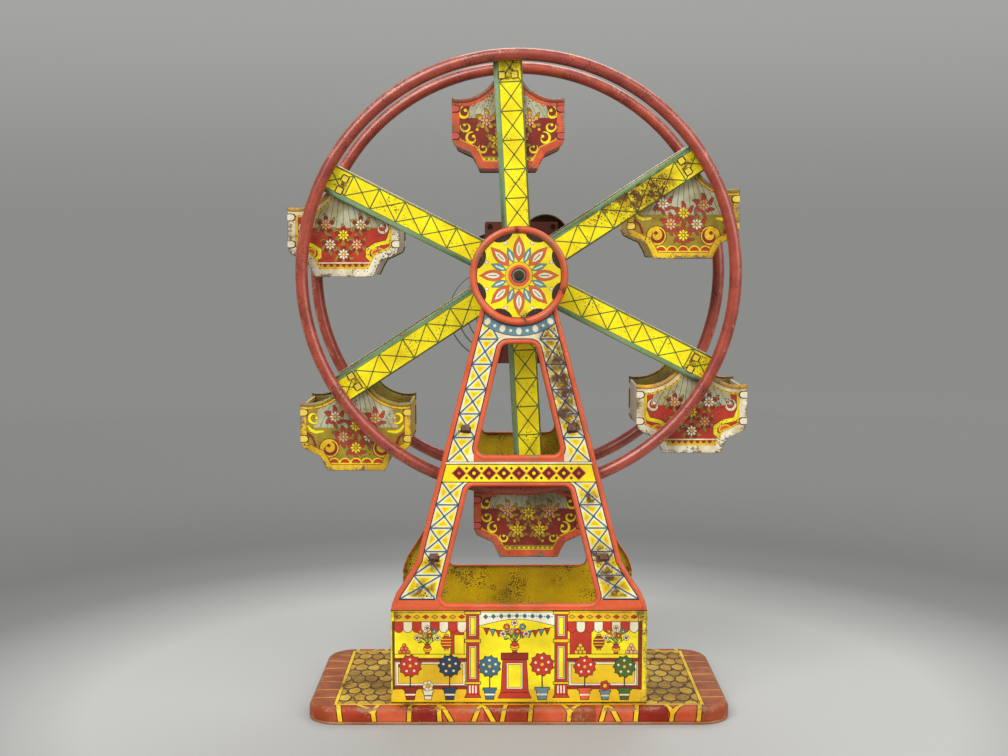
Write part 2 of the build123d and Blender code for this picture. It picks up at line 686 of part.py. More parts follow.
with BuildPart() as winding_arbor:
    steps = [
        (MOTOR_FRONT, MOTOR_PLATE + END_PLAY, ARBOR_NECK),
        (MOTOR_FRONT + MOTOR_PLATE + END_PLAY, ARBOR_BODY, ARBOR_RADIUS),
        (MOTOR_REAR - END_PLAY, CRANK_PLANE + CRANK_THICK - MOTOR_REAR + END_PLAY, ARBOR_NECK),
        (CRANK_PLANE + CRANK_THICK, ARBOR_HEAD_THICK, ARBOR_HEAD),
    ]
    for y, length, radius in steps:
        with BuildSketch(front_plane(y, *ARBOR)):
            Circle(radius)
        extrude(amount=-length)
finish(winding_arbor, "winding_arbor")


with BuildPart() as governor_fly:
    with BuildSketch(front_plane(MOTOR_FRONT, *FLY)):
        Circle(FLY_NECK)
    extrude(amount=-(MOTOR_REAR + MOTOR_PLATE - MOTOR_FRONT))
    with BuildSketch(front_plane(FLY_PINION_PLANE, *FLY)):
        add(gear(FLY_TEETH, TRAIN_MODULE, FLY_ANGLE + 180))
    extrude(amount=-FLY_PINION_LENGTH)
    with BuildSketch(front_plane(FLY_PLANE, *FLY)):
        Circle(FLY_DISC)
        with PolarLocations(FLY_HOLES_AT, 3):
            Circle(FLY_HOLE, mode=Mode.SUBTRACT)
    extrude(amount=-FLY_THICK)
finish(governor_fly, "governor_fly")


# ------------------------------------------------------------------ mainspring
def spring_turns():
    """Half turns of the slack spring about the arbor: middle, radius, first angle, sweep."""
    step_right = (SPRING_RIGHT - SPRING_FIRST) / SPRING_LOOPS
    span_left = SPRING_LEFT - SPRING_FIRST - SPRING_INNER_STEP
    rights = [SPRING_FIRST + step_right * k for k in range(SPRING_LOOPS + 1)]
    lefts = [
        SPRING_LEFT - span_left * (1 - (k / SPRING_LOOPS) ** SPRING_SLACK)
        for k in range(SPRING_LOOPS + 1)
    ]
    turns = []
    for k in range(SPRING_LOOPS + 1):
        turns.append((((rights[k] - lefts[k]) / 2, 0.0), (rights[k] + lefts[k]) / 2, 0, 180))
        if k < SPRING_LOOPS:
            right = rights[k + 1]
            turns.append((((right - lefts[k]) / 2, 0.0), (right + lefts[k]) / 2, 180, 180))
    return turns


ANCHOR = (PILLARS[-1][0] - ARBOR[0], PILLARS[-1][1] - ARBOR[1])
HOOK_RADIUS = PILLAR_RADIUS + 0.3
SPRING_FOOT = HOOK_RADIUS - ANCHOR[1]
SPRING_TURNS = spring_turns() + [((SPRING_FOOT - SPRING_LEFT, 0.0), SPRING_FOOT, 180, 90)]
HOOK_TAIL = 3.0


def spring_gap():
    """Least distance between neighbouring turns of the strip, from points every 3 degrees."""
    points = []
    for (x, z), radius, first, sweep in SPRING_TURNS:
        for part in range(sweep // 3):
            dx, dz = polar(radius, first + 3 * part)
            points.append((x + dx, z + dz))
    half_turn = 60
    gaps = [
        hypot(a[0] - b[0], a[1] - b[1])
        for i, a in enumerate(points)
        for b in points[i + half_turn:]
    ]
    return min(gaps) - SPRING_STRIP


with BuildPart() as mainspring:
    with BuildSketch(front_plane(SPRING_FRONT, *ARBOR)):
        with BuildLine():
            for shift in (-SPRING_STRIP / 2, SPRING_STRIP / 2):
                for middle, radius, first, sweep in SPRING_TURNS:
                    CenterArc(middle, radius + shift, first, sweep)
                low = -SPRING_FOOT - shift
                Line((SPRING_FOOT - SPRING_LEFT, low), (ANCHOR[0], low))
                CenterArc(ANCHOR, HOOK_RADIUS + shift, -90, 180)
                high = ANCHOR[1] + HOOK_RADIUS + shift
                Line((ANCHOR[0], high), (ANCHOR[0] - HOOK_TAIL, high))
            for x, z, along in (
                (SPRING_FIRST, 0.0, (SPRING_STRIP / 2, 0.0)),
                (ANCHOR[0] - HOOK_TAIL, ANCHOR[1] + HOOK_RADIUS, (0.0, SPRING_STRIP / 2)),
            ):
                Line((x - along[0], z - along[1]), (x + along[0], z + along[1]))
        make_face()
    extrude(amount=-SPRING_WIDTH)
finish(mainspring, "mainspring")
print(f"mainspring least gap between turns {spring_gap():.2f} mm")


# ------------------------------------------------------------------ bell and hammer
with BuildPart() as bell:
    sphere = (BELL_RADIUS**2 + BELL_DEPTH**2) / (2 * BELL_DEPTH)
    sunk = sphere - BELL_DEPTH
    lining = sphere - BELL_WALL

    def shell_point(radius, x):
        return x, (radius**2 - x**2) ** 0.5 - sunk

    rim_inside = (lining**2 - sunk**2) ** 0.5
    section = Plane(origin=(BELL_AT[0], BELL_RIM, HUB_HEIGHT + BELL_AT[1]), z_dir=(0, 0, 1))
    with BuildSketch(section):
        with BuildLine():
            halfway = BELL_RADIUS / 2
            outer = [(BELL_RADIUS, 0), shell_point(sphere, halfway), shell_point(sphere, BELL_POST)]
            inner = [(rim_inside, 0), shell_point(lining, halfway), shell_point(lining, BELL_POST)]
            ThreePointArc(*outer)
            ThreePointArc(*inner)
            Line(outer[0], inner[0])
            Line(outer[2], inner[2])
        make_face()
    revolve(axis=Axis(section.origin, (0, 1, 0)))
finish(bell, "bell")


with BuildPart() as bell_post:
    top = BELL_RIM + BELL_DEPTH
    steps = [
        (MOTOR_REAR - RIVET_END, RIVET_END, RIVET_HEAD),
        (MOTOR_REAR, MOTOR_PLATE, RIVET_RADIUS),
        (MOTOR_REAR + MOTOR_PLATE, top - MOTOR_REAR - MOTOR_PLATE, BELL_POST),
        (top, BELL_NUT_THICK, BELL_NUT),
    ]
    for y, length, radius in steps:
        with BuildSketch(front_plane(y, *BELL_AT)):
            Circle(radius)
        extrude(amount=-length)
finish(bell_post, "bell_post")


# The hammer is drawn at the top of its lift, with its nose just clear of the trip teeth.
with BuildPart() as bell_hammer:
    elbow, nose = polar(HAMMER_ELBOW, HAMMER_NOSE), polar(HAMMER_TIP, HAMMER_NOSE)
    with BuildSketch(front_plane(TRIP_PLANE)):
        with BuildLine():
            Polyline(HAMMER_HEAD, HAMMER_AT, elbow, nose)
        trace(line_width=HAMMER_WIRE)
        with Locations(HAMMER_HEAD):
            Circle(HAMMER_KNOB)
        with Locations(HAMMER_AT):
            Circle(HAMMER_BOSS)
            Circle(HAMMER_STUD + RUNNING, mode=Mode.SUBTRACT)
    extrude(amount=-TRIP_THICK)
finish(bell_hammer, "bell_hammer")


# ------------------------------------------------------------------ crank
with BuildPart() as crank_arm:
    with BuildSketch(front_plane(CRANK_PLANE, *ARBOR)):
        with Locations((0, CRANK_LENGTH / 2)):
            SlotCenterToCenter(CRANK_LENGTH, CRANK_WIDTH, rotation=90)
        Circle(ARBOR_NECK, mode=Mode.SUBTRACT)
    extrude(amount=-CRANK_THICK)
    pin = ARBOR[0], ARBOR[1] + CRANK_LENGTH
    with BuildSketch(front_plane(CRANK_PLANE + CRANK_THICK, *pin)):
        Circle(KNOB_PIN)
    extrude(amount=-(KNOB_LENGTH + 2 * KNOB_PLAY))
    with BuildSketch(front_plane(CRANK_PLANE + CRANK_THICK + KNOB_LENGTH + 2 * KNOB_PLAY, *pin)):
        Circle(KNOB_PIN_HEAD)
    extrude(amount=-KNOB_PIN_HEAD_THICK)
finish(crank_arm, "crank_arm")


with BuildPart() as crank_knob:
    start = CRANK_PLANE + CRANK_THICK + KNOB_PLAY
    grip = Plane(origin=(pin[0], start, HUB_HEIGHT + pin[1]), z_dir=(0, 0, 1))
    with BuildSketch(grip):
        with BuildLine():
            bore = KNOB_PIN + RUNNING
            foot = (KNOB_FOOT, 0)
            waist = (KNOB_WAIST, KNOB_LENGTH * 0.3)
            belly = (KNOB_RADIUS, KNOB_LENGTH * 0.72)
            crown = (KNOB_CROWN, KNOB_LENGTH)
            Polyline((bore, 0), foot, waist)
            ThreePointArc(waist, belly, crown)
            Polyline(crown, (bore, KNOB_LENGTH), (bore, 0))
        make_face()
    revolve(axis=Axis(grip.origin, (0, 1, 0)))
finish(crank_knob, "crank_knob")
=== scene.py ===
"""Finished look of the wind-up tin ferris wheel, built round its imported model.

Lengths in this file are millimetres unless a name says metres. X runs to the right seen
from the front, the front faces -Y, and Z is the height above the table.
"""

import logging
from collections.abc import Callable, Iterable
from copy import deepcopy
from dataclasses import dataclass, field
from enum import Enum
from functools import cache
from math import atan2, cos, degrees, pi, radians, sin
from random import Random

import bpy
import numpy as np
from mathutils import Euler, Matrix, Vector
from mathutils.geometry import delaunay_2d_cdt


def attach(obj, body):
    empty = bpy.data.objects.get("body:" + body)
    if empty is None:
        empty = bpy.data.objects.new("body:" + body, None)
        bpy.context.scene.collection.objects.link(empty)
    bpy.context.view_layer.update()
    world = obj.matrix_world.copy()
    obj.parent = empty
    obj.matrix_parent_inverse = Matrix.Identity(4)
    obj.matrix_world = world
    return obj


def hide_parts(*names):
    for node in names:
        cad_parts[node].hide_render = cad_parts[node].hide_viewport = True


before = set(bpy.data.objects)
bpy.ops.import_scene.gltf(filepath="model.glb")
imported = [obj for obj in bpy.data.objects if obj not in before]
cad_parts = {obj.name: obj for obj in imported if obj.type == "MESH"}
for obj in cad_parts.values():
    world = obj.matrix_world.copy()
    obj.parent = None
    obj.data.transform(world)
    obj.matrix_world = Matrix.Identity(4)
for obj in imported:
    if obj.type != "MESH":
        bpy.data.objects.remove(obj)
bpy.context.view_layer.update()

LOG = logging.getLogger("ferris_wheel")
MM = 0.001
TIN = 0.5
HUB_HEIGHT = 279.5
SPOKES = 6
WHEEL_LEAN = 3.0
SPOKE_ANGLES = [90.0 + WHEEL_LEAN + 60.0 * k for k in range(SPOKES)]
HANGER_RADIUS = 124.0

Point = tuple[float, float]
Path = list[Point]
Tone = tuple[float, float, float]
Steps = list[tuple[float, float]]
Form = tuple[np.ndarray, list[list[int]]]
Socket = bpy.types.NodeSocket
Tree = bpy.types.NodeTree


def light_of(value: float) -> float:
    """Linear light of one display value."""
    return value / 12.92 if value <= 0.04045 else ((value + 0.055) / 1.055) ** 2.4


def linear(tone: Tone) -> tuple[float, float, float, float]:
    """Linear colour with full alpha of a display colour."""
    return (light_of(tone[0]), light_of(tone[1]), light_of(tone[2]), 1.0)


class Ink(Enum):
    """Printing inks of the sheets, as display colours."""

    LEMON = (0.95, 0.89, 0.10)
    YELLOW = (0.90, 0.75, 0.10)
    GOLD = (0.84, 0.64, 0.14)
    OLIVE = (0.60, 0.53, 0.14)
    CREAM = (0.91, 0.89, 0.80)
    PEARL = (0.70, 0.70, 0.60)
    PINK = (0.86, 0.64, 0.52)
    ORANGE = (0.85, 0.37, 0.22)
    RED = (0.73, 0.21, 0.13)
    BRICK = (0.60, 0.28, 0.17)
    CRIMSON = (0.54, 0.15, 0.10)
    MAROON = (0.38, 0.13, 0.09)
    UMBER = (0.22, 0.16, 0.13)
    BLACK = (0.09, 0.08, 0.08)
    SKY = (0.40, 0.56, 0.64)
    SLATE = (0.25, 0.40, 0.48)
    NAVY = (0.17, 0.25, 0.36)
    LEAF = (0.30, 0.40, 0.15)
    SAGE = (0.46, 0.58, 0.45)
    MOSS = (0.38, 0.43, 0.22)
    STONE_LIGHT = (0.80, 0.67, 0.22)
    STONE = (0.74, 0.60, 0.17)
    STONE_DARK = (0.64, 0.50, 0.13)
    JOINT = (0.20, 0.14, 0.06)
    TAN = (0.60, 0.32, 0.20)
    CORAL = (0.76, 0.34, 0.22)
    RUSSET = (0.62, 0.22, 0.14)
    HEM = (0.64, 0.44, 0.30)


class Side(Enum):
    """The two faces of the toy, by the sign of Y."""

    FRONT = -1
    REAR = 1


# ---- flat shapes
def polar(radius: float, angle: float, centre: Point = (0.0, 0.0)) -> Point:
    """Point at a distance and direction in degrees from a centre."""
    return centre[0] + radius * cos(radians(angle)), centre[1] + radius * sin(radians(angle))


def arc(centre: Point, radius: float, first: float, last: float, steps: int = 12) -> Path:
    """Points along an arc from one direction to another, both ends included."""
    return [polar(radius, first + (last - first) * k / steps, centre) for k in range(steps + 1)]


def disc(centre: Point, radius: float, steps: int = 16, tall: float = 1.0) -> Path:
    """Closed circle, or an ellipse that is tall times as high as wide."""
    turns = (polar(radius, 360.0 / steps * k) for k in range(steps))
    return [(centre[0] + x, centre[1] + z * tall) for x, z in turns]


def rectangle(left: float, low: float, right: float, high: float) -> Path:
    """Corners of an upright rectangle, counter-clockwise."""
    return [(left, low), (right, low), (right, high), (left, high)]


def arc_through(a: Point, b: Point, c: Point, steps: int = 12) -> Path:
    """Points along the arc from a through b to c.

    Args:
        a, b, c: Its first, a middle and its last point.
        steps: Number of its segments.

    Returns:
        Its points, both ends included.
    """
    start, ends = np.array(a), np.array([b, c])
    chords = ends - start
    centre = start + np.linalg.solve(2 * chords, (chords ** 2).sum(axis=1))
    first, last = (atan2(p[1] - centre[1], p[0] - centre[0]) for p in (a, c))
    turned = (last - first + pi) % (2 * pi) - pi
    radius = float(np.linalg.norm(start - centre))
    return arc((float(centre[0]), float(centre[1])), radius, degrees(first), degrees(first + turned), steps)


def mirrored(path: Path) -> Path:
    """The path seen in a mirror that stands on its X = 0 line, run backwards."""
    return [(-x, z) for x, z in reversed(path)]


def handed(path: Path, hand: int) -> Path:
    """The path as it is for a hand of 1, or its mirror image for -1."""
    return [(hand * x, z) for x, z in path]


def placed(path: Path, at: Point, turn: float = 0.0, size: float = 1.0) -> Path:
    """The path scaled and turned about its origin, then moved to a place."""
    c, s = cos(radians(turn)) * size, sin(radians(turn)) * size
    return [(at[0] + x * c - z * s, at[1] + x * s + z * c) for x, z in path]


def area(path: Path) -> float:
    """Signed area of a closed path, positive when it runs counter-clockwise."""
    return sum(a[0] * b[1] - b[0] * a[1] for a, b in zip(path, path[1:] + path[:1])) / 2


def offset(path: Path, distance: float, closed: bool = True) -> Path:
    """Moves each point to the left of the path's run, with mitred corners.

    Args:
        path: Points in order, without a repeated last point when closed.
        distance: Shift to the left, or to the right when negative.
        closed: Whether the last point joins the first.

    Returns:
        As many points as the path has.
    """
    points = np.array(path)
    ahead = np.roll(points, -1, axis=0) - points
    if not closed:
        ahead[-1] = ahead[-2]
    ahead /= np.maximum(np.linalg.norm(ahead, axis=1), 1e-9)[:, None]
    back = np.roll(ahead, 1, axis=0)
    if not closed:
        back[0] = ahead[0]
    middle = ahead + back
    middle /= np.maximum(np.linalg.norm(middle, axis=1), 1e-9)[:, None]
    reach = distance / np.maximum((middle * ahead).sum(axis=1), 0.25)
    moved = points + np.column_stack([-middle[:, 1], middle[:, 0]]) * reach[:, None]
    return [(float(x), float(z)) for x, z in moved]


def rounded(path: Path, radius: float, steps: int = 5) -> Path:
    """Closed path with each corner replaced by an arc of the given radius.

    Args:
        path: Corners, counter-clockwise.
        radius: Radius of every corner.
        steps: Segments of each arc.

    Returns:
        The closed path with its arcs.
    """
    made: Path = []
    for before, corner, after in zip([path[-1]] + path[:-1], path, path[1:] + path[:1]):
        first = atan2(before[1] - corner[1], before[0] - corner[0])
        second = atan2(after[1] - corner[1], after[0] - corner[0])
        half = ((first - second) % (2 * pi)) / 2
        inward = second + half
        centre = (corner[0] + radius / sin(half) * cos(inward),
                  corner[1] + radius / sin(half) * sin(inward))
        sweep = 180.0 - degrees(2 * half)
        start = degrees(inward) + 180.0 - sweep / 2
        made += arc(centre, radius, start, start + sweep, steps)
    return made


def scalloped(centre: Point, radius: float, lobes: int, depth: float) -> Path:
    """Closed outline of a round shape with lobes, such as a clipped bush."""
    dents = (depth * abs(cos(pi * k / 4)) for k in range(4 * lobes))
    return [polar(radius - dent, 90.0 / lobes * k, centre) for k, dent in enumerate(dents)]


def distance_to(points: np.ndarray, paths: list[Path]) -> np.ndarray:
    """Shortest distance from each flat point to any of the open paths.

    Args:
        points: Array of n x 2.
        paths: Open paths of two points or more.

    Returns:
        Array of n distances.
    """
    best = np.full(len(points), 1e9)
    for path in paths:
        for a, b in zip(np.array(path[:-1]), np.array(path[1:])):
            run = b - a
            share = np.clip(((points - a) @ run) / max(run @ run, 1e-12), 0, 1)
            best = np.minimum(best, np.linalg.norm(points - a - share[:, None] * run, axis=1))
    return best


# ---- printed sheets
@dataclass
class Sheet:
    """Triangulated print: flat points, faces and their inks, and at each point its height,
    how much an edge is worn there and how much rust has come through."""

    points: np.ndarray
    faces: list[list[int]]
    inks: list[Ink]

    def __post_init__(self) -> None:
        """Starts flat and unworn."""
        self.heights, self.edges, self.stains = np.zeros((3, len(self.points)))

    def form(self, rims: list[Path], profile: Steps) -> None:
        """Raises the sheet along its rims.

        Args:
            rims: Open paths that the relief follows.
            profile: Pairs of distance from a rim and height there.
        """
        far = distance_to(self.points, rims)
        shape = np.interp(far, *zip(*profile))
        self.heights = np.where(np.abs(shape) > np.abs(self.heights), shape, self.heights)
        self.edges = np.maximum(self.edges, np.exp(-far / 1.6))

    def stain(self, spots: Iterable[tuple[Point, float]]) -> None:
        """Marks the places where rust has come through.

        Args:
            spots: Middle and radius of each place.
        """
        for centre, reach in spots:
            far = np.linalg.norm(self.points - np.array(centre), axis=1)
            self.stains = np.maximum(self.stains, np.clip(1.25 - far / reach, 0, 1))

    def turn_edges(self, rims: list[Path], steps: Steps) -> None:
        """Carries the sheet round its free edges that lie on the rims.

        Args:
            rims: Open paths on the sheet's outline.
            steps: For each new row, its inset from the edge and its height.
        """
        used = {(a, b) for face in self.faces for a, b in zip(face, face[1:] + face[:1])}
        on_rim = distance_to(self.points, rims) < 0.02
        free = [
            (a, b, ink)
            for face, ink in zip(self.faces, self.inks)
            for a, b in zip(face, face[1:] + face[:1])
            if (b, a) not in used and on_rim[a] and on_rim[b]
        ]
        inward: dict[int, np.ndarray] = {}
        for a, b, _ in free:
            run = self.points[b] - self.points[a]
            normal = np.array([-run[1], run[0]]) / np.linalg.norm(run)
            for end in (a, b):
                inward[end] = inward.get(end, np.zeros(2)) + normal
        last = {key: key for key in inward}
        for inset, height in steps:
            new: dict[int, int] = {}
            rows = []
            for key, normal in inward.items():
                new[key] = len(self.points) + len(rows)
                rows.append(self.points[key] + normal / np.linalg.norm(normal) * inset)
            self.points = np.vstack([self.points, rows])
            self.heights = np.append(self.heights, [height] * len(rows))
            self.edges = np.append(self.edges, [0.6] * len(rows))
            self.stains = np.append(self.stains, self.stains[list(inward)])
            self.faces += [[last[b], last[a], new[a], new[b]] for a, b, _ in free]
            self.inks += [ink for _, _, ink in free]
            last = new

    def piece(self, name: str, place: Callable, wear: float = 1.0, smooth: float = 38.0,
              thickness: float = TIN) -> bpy.types.Object:
        """Makes the sheet as a piece of tin.

        Args:
            name: Name of the piece.
            place: Function from flat points and heights to points in space.
            wear: How much of the edges' wear shows.
            smooth: Edges sharper than this many degrees stay sharp.
            thickness: Thickness of the tin.

        Returns:
            The linked object, thickened inwards.
        """
        age = np.column_stack([self.edges * wear, self.stains])
        points = place(self.points, self.heights)
        made = make_piece(name, points, self.faces, self.inks, age, smooth)
        thicken(made, thickness)
        return made


class Artwork:
    """Inks laid over a sheet in order, on the sheet's own flat outline."""

    def __init__(self, outline: Path, ground: Ink) -> None:
        """Starts a print.

        Args:
            outline: Closed outline of the sheet.
            ground: Ink that covers it first.
        """
        self.outline = outline
        self.ground = ground
        self.holes: list[Path] = []
        self.folds: list[tuple[Path, bool]] = []
        self.shapes: list[tuple[Ink, Path]] = []

    def fill(self, ink: Ink, path: Path, edge: Ink | None = None, width: float = 0.4) -> None:
        """Lays a closed shape, with a line round it if an edge ink is given.

        Args:
            ink: Ink of the shape.
            path: Its closed outline.
            edge: Ink of the line round it, if it has one.
            width: Width of that line.
        """
        self.shapes.append((ink, path))
        if edge is not None:
            self.line(edge, path, width, closed=True)

    def box(self, ink: Ink, sides: tuple[float, float, float, float], edge: Ink | None = None,
            width: float = 0.4) -> None:
        """Lays an upright rectangle, given its left, low, right and high side."""
        self.fill(ink, rectangle(*sides), edge, width)

    def line(self, ink: Ink, path: Path, width: float, closed: bool = False) -> None:
        """Lays a line of even width along a path."""
        self.swell(ink, path, [width] * len(path), closed)

    def swell(self, ink: Ink, path: Path, widths: list[float], closed: bool = False) -> None:
        """Lays a line along a path.

        Args:
            ink: Ink of the line.
            path: Points of its middle.
            widths: Its width at each point.
            closed: Whether it runs back to its first point.
        """
        middle, left = np.array(path), np.array(offset(path, 1.0, closed))
        half = np.array(widths)[:, None] / 2
        a, b = middle + (left - middle) * half, middle - (left - middle) * half
        count = len(path) if closed else len(path) - 1
        for i in range(count):
            j = (i + 1) % len(path)
            quad = [tuple(a[i]), tuple(b[i]), tuple(b[j]), tuple(a[j])]
            halves = [quad[:3], [quad[0], *quad[2:]]]
            crossed = area(halves[0]) * area(halves[1]) <= 0
            self.shapes += [(ink, piece) for piece in (halves if crossed else [quad])]

    def scroll(self, ink: Ink, at: Point, size: float, turn: float, hand: int = 1,
               edge: Ink | None = None) -> None:
        """Lays a C-shaped scroll that thickens to its middle and ends in balls.

        Args:
            ink: Ink of the scroll.
            at: Middle of its curl.
            size: Outer radius of the curl.
            turn: Direction of its open end in degrees.
            hand: 1 for a left-hand curl, -1 for a right-hand one.
            edge: Ink of a line round it, if it has one.
        """
        steps = 16
        path, widths = [], []
        for k in range(steps + 1):
            t = k / steps
            path.append(polar(size * (1 - 0.62 * t ** 1.4), turn + hand * (20 + 330 * t), at))
            widths.append(size * (0.1 + 0.34 * sin(pi * min(t * 1.25, 1.0))))
        ball = disc(path[-1], size * 0.26, 10)
        if edge is not None:
            self.swell(edge, path, [w + 0.7 for w in widths])
            self.fill(edge, disc(path[-1], size * 0.26 + 0.35, 10))
        self.swell(ink, path, widths)
        self.fill(ink, ball)

    def print(self) -> Sheet:
        """Cuts the shapes into one sheet of triangles, the last laid ink on top.

        Returns:
            The flat sheet with its inks, still without relief.
        """
        points: Path = []
        rings: list[list[int]] = []
        bends: list[tuple[int, int]] = []

        def note(path: Path) -> list[int]:
            """Adds the path's points and returns their numbers."""
            points.extend(path)
            return list(range(len(points) - len(path), len(points)))

        shapes = [(ink, path) for ink, path in self.shapes if abs(area(path)) > 1e-3]
        for path in [self.outline, *self.holes, *(path for _, path in shapes)]:
            rings.append(note(path if area(path) > 0 else path[::-1]))
        for path, closed in self.folds:
            run = note(path)
            bends += list(zip(run, run[1:] + (run[:1] if closed else [])))
        flat = [Vector(p) for p in points]
        corners, _, triangles, _, _, owners = delaunay_2d_cdt(flat, bends, rings, 0, 1e-4)
        drilled = set(range(1, 1 + len(self.holes)))
        first = 1 + len(self.holes)
        faces, inks = [], []
        for triangle, owner in zip(triangles, owners):
            if 0 not in owner or drilled.intersection(owner):
                continue
            top = max(owner)
            faces.append(list(triangle))
            inks.append(shapes[top - first][0] if top >= first else self.ground)
        used, renamed = np.unique(np.array(faces), return_inverse=True)
        flat_corners = np.array([tuple(c) for c in corners])[used]
        sheet = Sheet(flat_corners, renamed.reshape(-1, 3).tolist(), inks)
        sheet.form([self.outline + self.outline[:1]], [(0.0, 0.0), (1.0, 0.0)])
        return sheet


# ---- meshes
def make_piece(name: str, points: np.ndarray, faces: list[list[int]], inks: list[Ink] | None = None,
               age: np.ndarray | None = None, smooth: float = 38.0) -> bpy.types.Object:
    """Makes a mesh object from points in millimetres.

    Args:
        name: Name of the piece.
        points: Array of n x 3.
        faces: Corner numbers of each face.
        inks: Ink of each face, for printed sheets.
        age: Array of n x 2 with edge wear and stain at each point.
        smooth: Edges sharper than this many degrees stay sharp.

    Returns:
        The linked object.
    """
    mesh = bpy.data.meshes.new(name)
    mesh.from_pydata((np.asarray(points, float) * MM).tolist(), [], [list(f) for f in faces])
    if inks is not None:
        tones = np.array([linear(ink.value) for ink in inks])
        sizes = np.array([len(f) for f in faces])
        layer = mesh.color_attributes.new("ink", "FLOAT_COLOR", "CORNER")
        layer.data.foreach_set("color", np.repeat(tones, sizes, axis=0).ravel())
    if age is not None:
        layer = mesh.color_attributes.new("age", "FLOAT_COLOR", "POINT")
        rows = np.column_stack([age, np.zeros(len(age)), np.ones(len(age))])
        layer.data.foreach_set("color", rows.ravel())
    mesh.shade_smooth()
    mesh.set_sharp_from_angle(angle=radians(smooth))
    piece = bpy.data.objects.new(name, mesh)
    bpy.context.scene.collection.objects.link(piece)
    return piece


def thicken(piece: bpy.types.Object, thickness: float = TIN) -> None:
    """Gives a sheet its thickness inwards, with its second finish on the inside.

    Args:
        piece: Sheet at its outer face.
        thickness: Thickness that it gets.
    """
    solid = piece.modifiers.new("sheet_thickness", "SOLIDIFY")
    solid.thickness = thickness * MM
    solid.offset = -1.0
    solid.use_even_offset = False
    solid.material_offset = 1
    solid.material_offset_rim = 0


def soften(piece: bpy.types.Object, width: float) -> None:
    """Breaks the sharp edges of a piece with a small bevel.

    Args:
        piece: Piece with sharp edges.
        width: Width of the bevel.
    """
    bevel = piece.modifiers.new("broken_edges", "BEVEL")
    bevel.width = width * MM
    bevel.segments = 2
    bevel.limit_method = "ANGLE"
    bevel.angle_limit = radians(38)
    bevel.harden_normals = True
    bevel.use_clamp_overlap = True


def ribbon(path: Path, thickness: float, near: float, far: float) -> Form:
    """Solid strip bent along a path in the X-Z plane.

    Args:
        path: Middle line of the strip.
        thickness: Thickness of its material.
        near: Y of one edge.
        far: Y of the other edge.

    Returns:
        Points and faces of the closed strip.
    """
    left, right = offset(path, thickness / 2, False), offset(path, -thickness / 2, False)
    points = [(x, y, z) for a, b in zip(left, right)
              for (x, z), y in ((a, near), (a, far), (b, far), (b, near))]
    faces = []
    for i in range(len(path) - 1):
        for k in range(4):
            j = (k + 1) % 4
            faces.append([4 * i + k, 4 * i + 4 + k, 4 * i + 4 + j, 4 * i + j])
    end = 4 * (len(path) - 1)
    faces += [[0, 1, 2, 3], [end + 3, end + 2, end + 1, end]]
    return np.array(points), faces


def plate(outline: Path, near: float, far: float) -> Form:
    """Flat plate with an outline in the X-Z plane, between two Y values.

    Args:
        outline: Closed outline, counter-clockwise.
        near: Y of its front.
        far: Y of its back.

    Returns:
        Points and faces of the closed plate.
    """
    count = len(outline)
    points = [(x, near, z) for x, z in outline] + [(x, far, z) for x, z in outline]
    faces = [list(range(count)), list(range(2 * count - 1, count - 1, -1))]
    faces += [[(k + 1) % count, k, count + k, count + (k + 1) % count] for k in range(count)]
    return np.array(points), faces


def joined(parts: list[Form]) -> Form:
    """Several sets of points and faces as one set.

    Args:
        parts: Points and faces of each part.

    Returns:
        Points and faces of them all.
    """
    points, faces, start = [], [], 0
    for part, sides in parts:
        points.append(part)
        faces += [[start + k for k in side] for side in sides]
        start += len(part)
    return np.vstack(points), faces


def upright(side: Side, distance: float, centre: Point = (0.0, 0.0)) -> Callable:
    """Placement of a flat sheet on a face of the toy.

    Args:
        side: Face that the sheet looks out of.
        distance: Its outer face from the middle plane.
        centre: World X and height of the sheet's origin.

    Returns:
        Function from flat points and heights to points in space.
    """
    def place(flat: np.ndarray, height: np.ndarray) -> np.ndarray:
        """Flat points and heights to points in space."""
        x = centre[0] - side.value * flat[:, 0]
        return np.column_stack([x, side.value * (distance + height), centre[1] + flat[:, 1]])
    return place


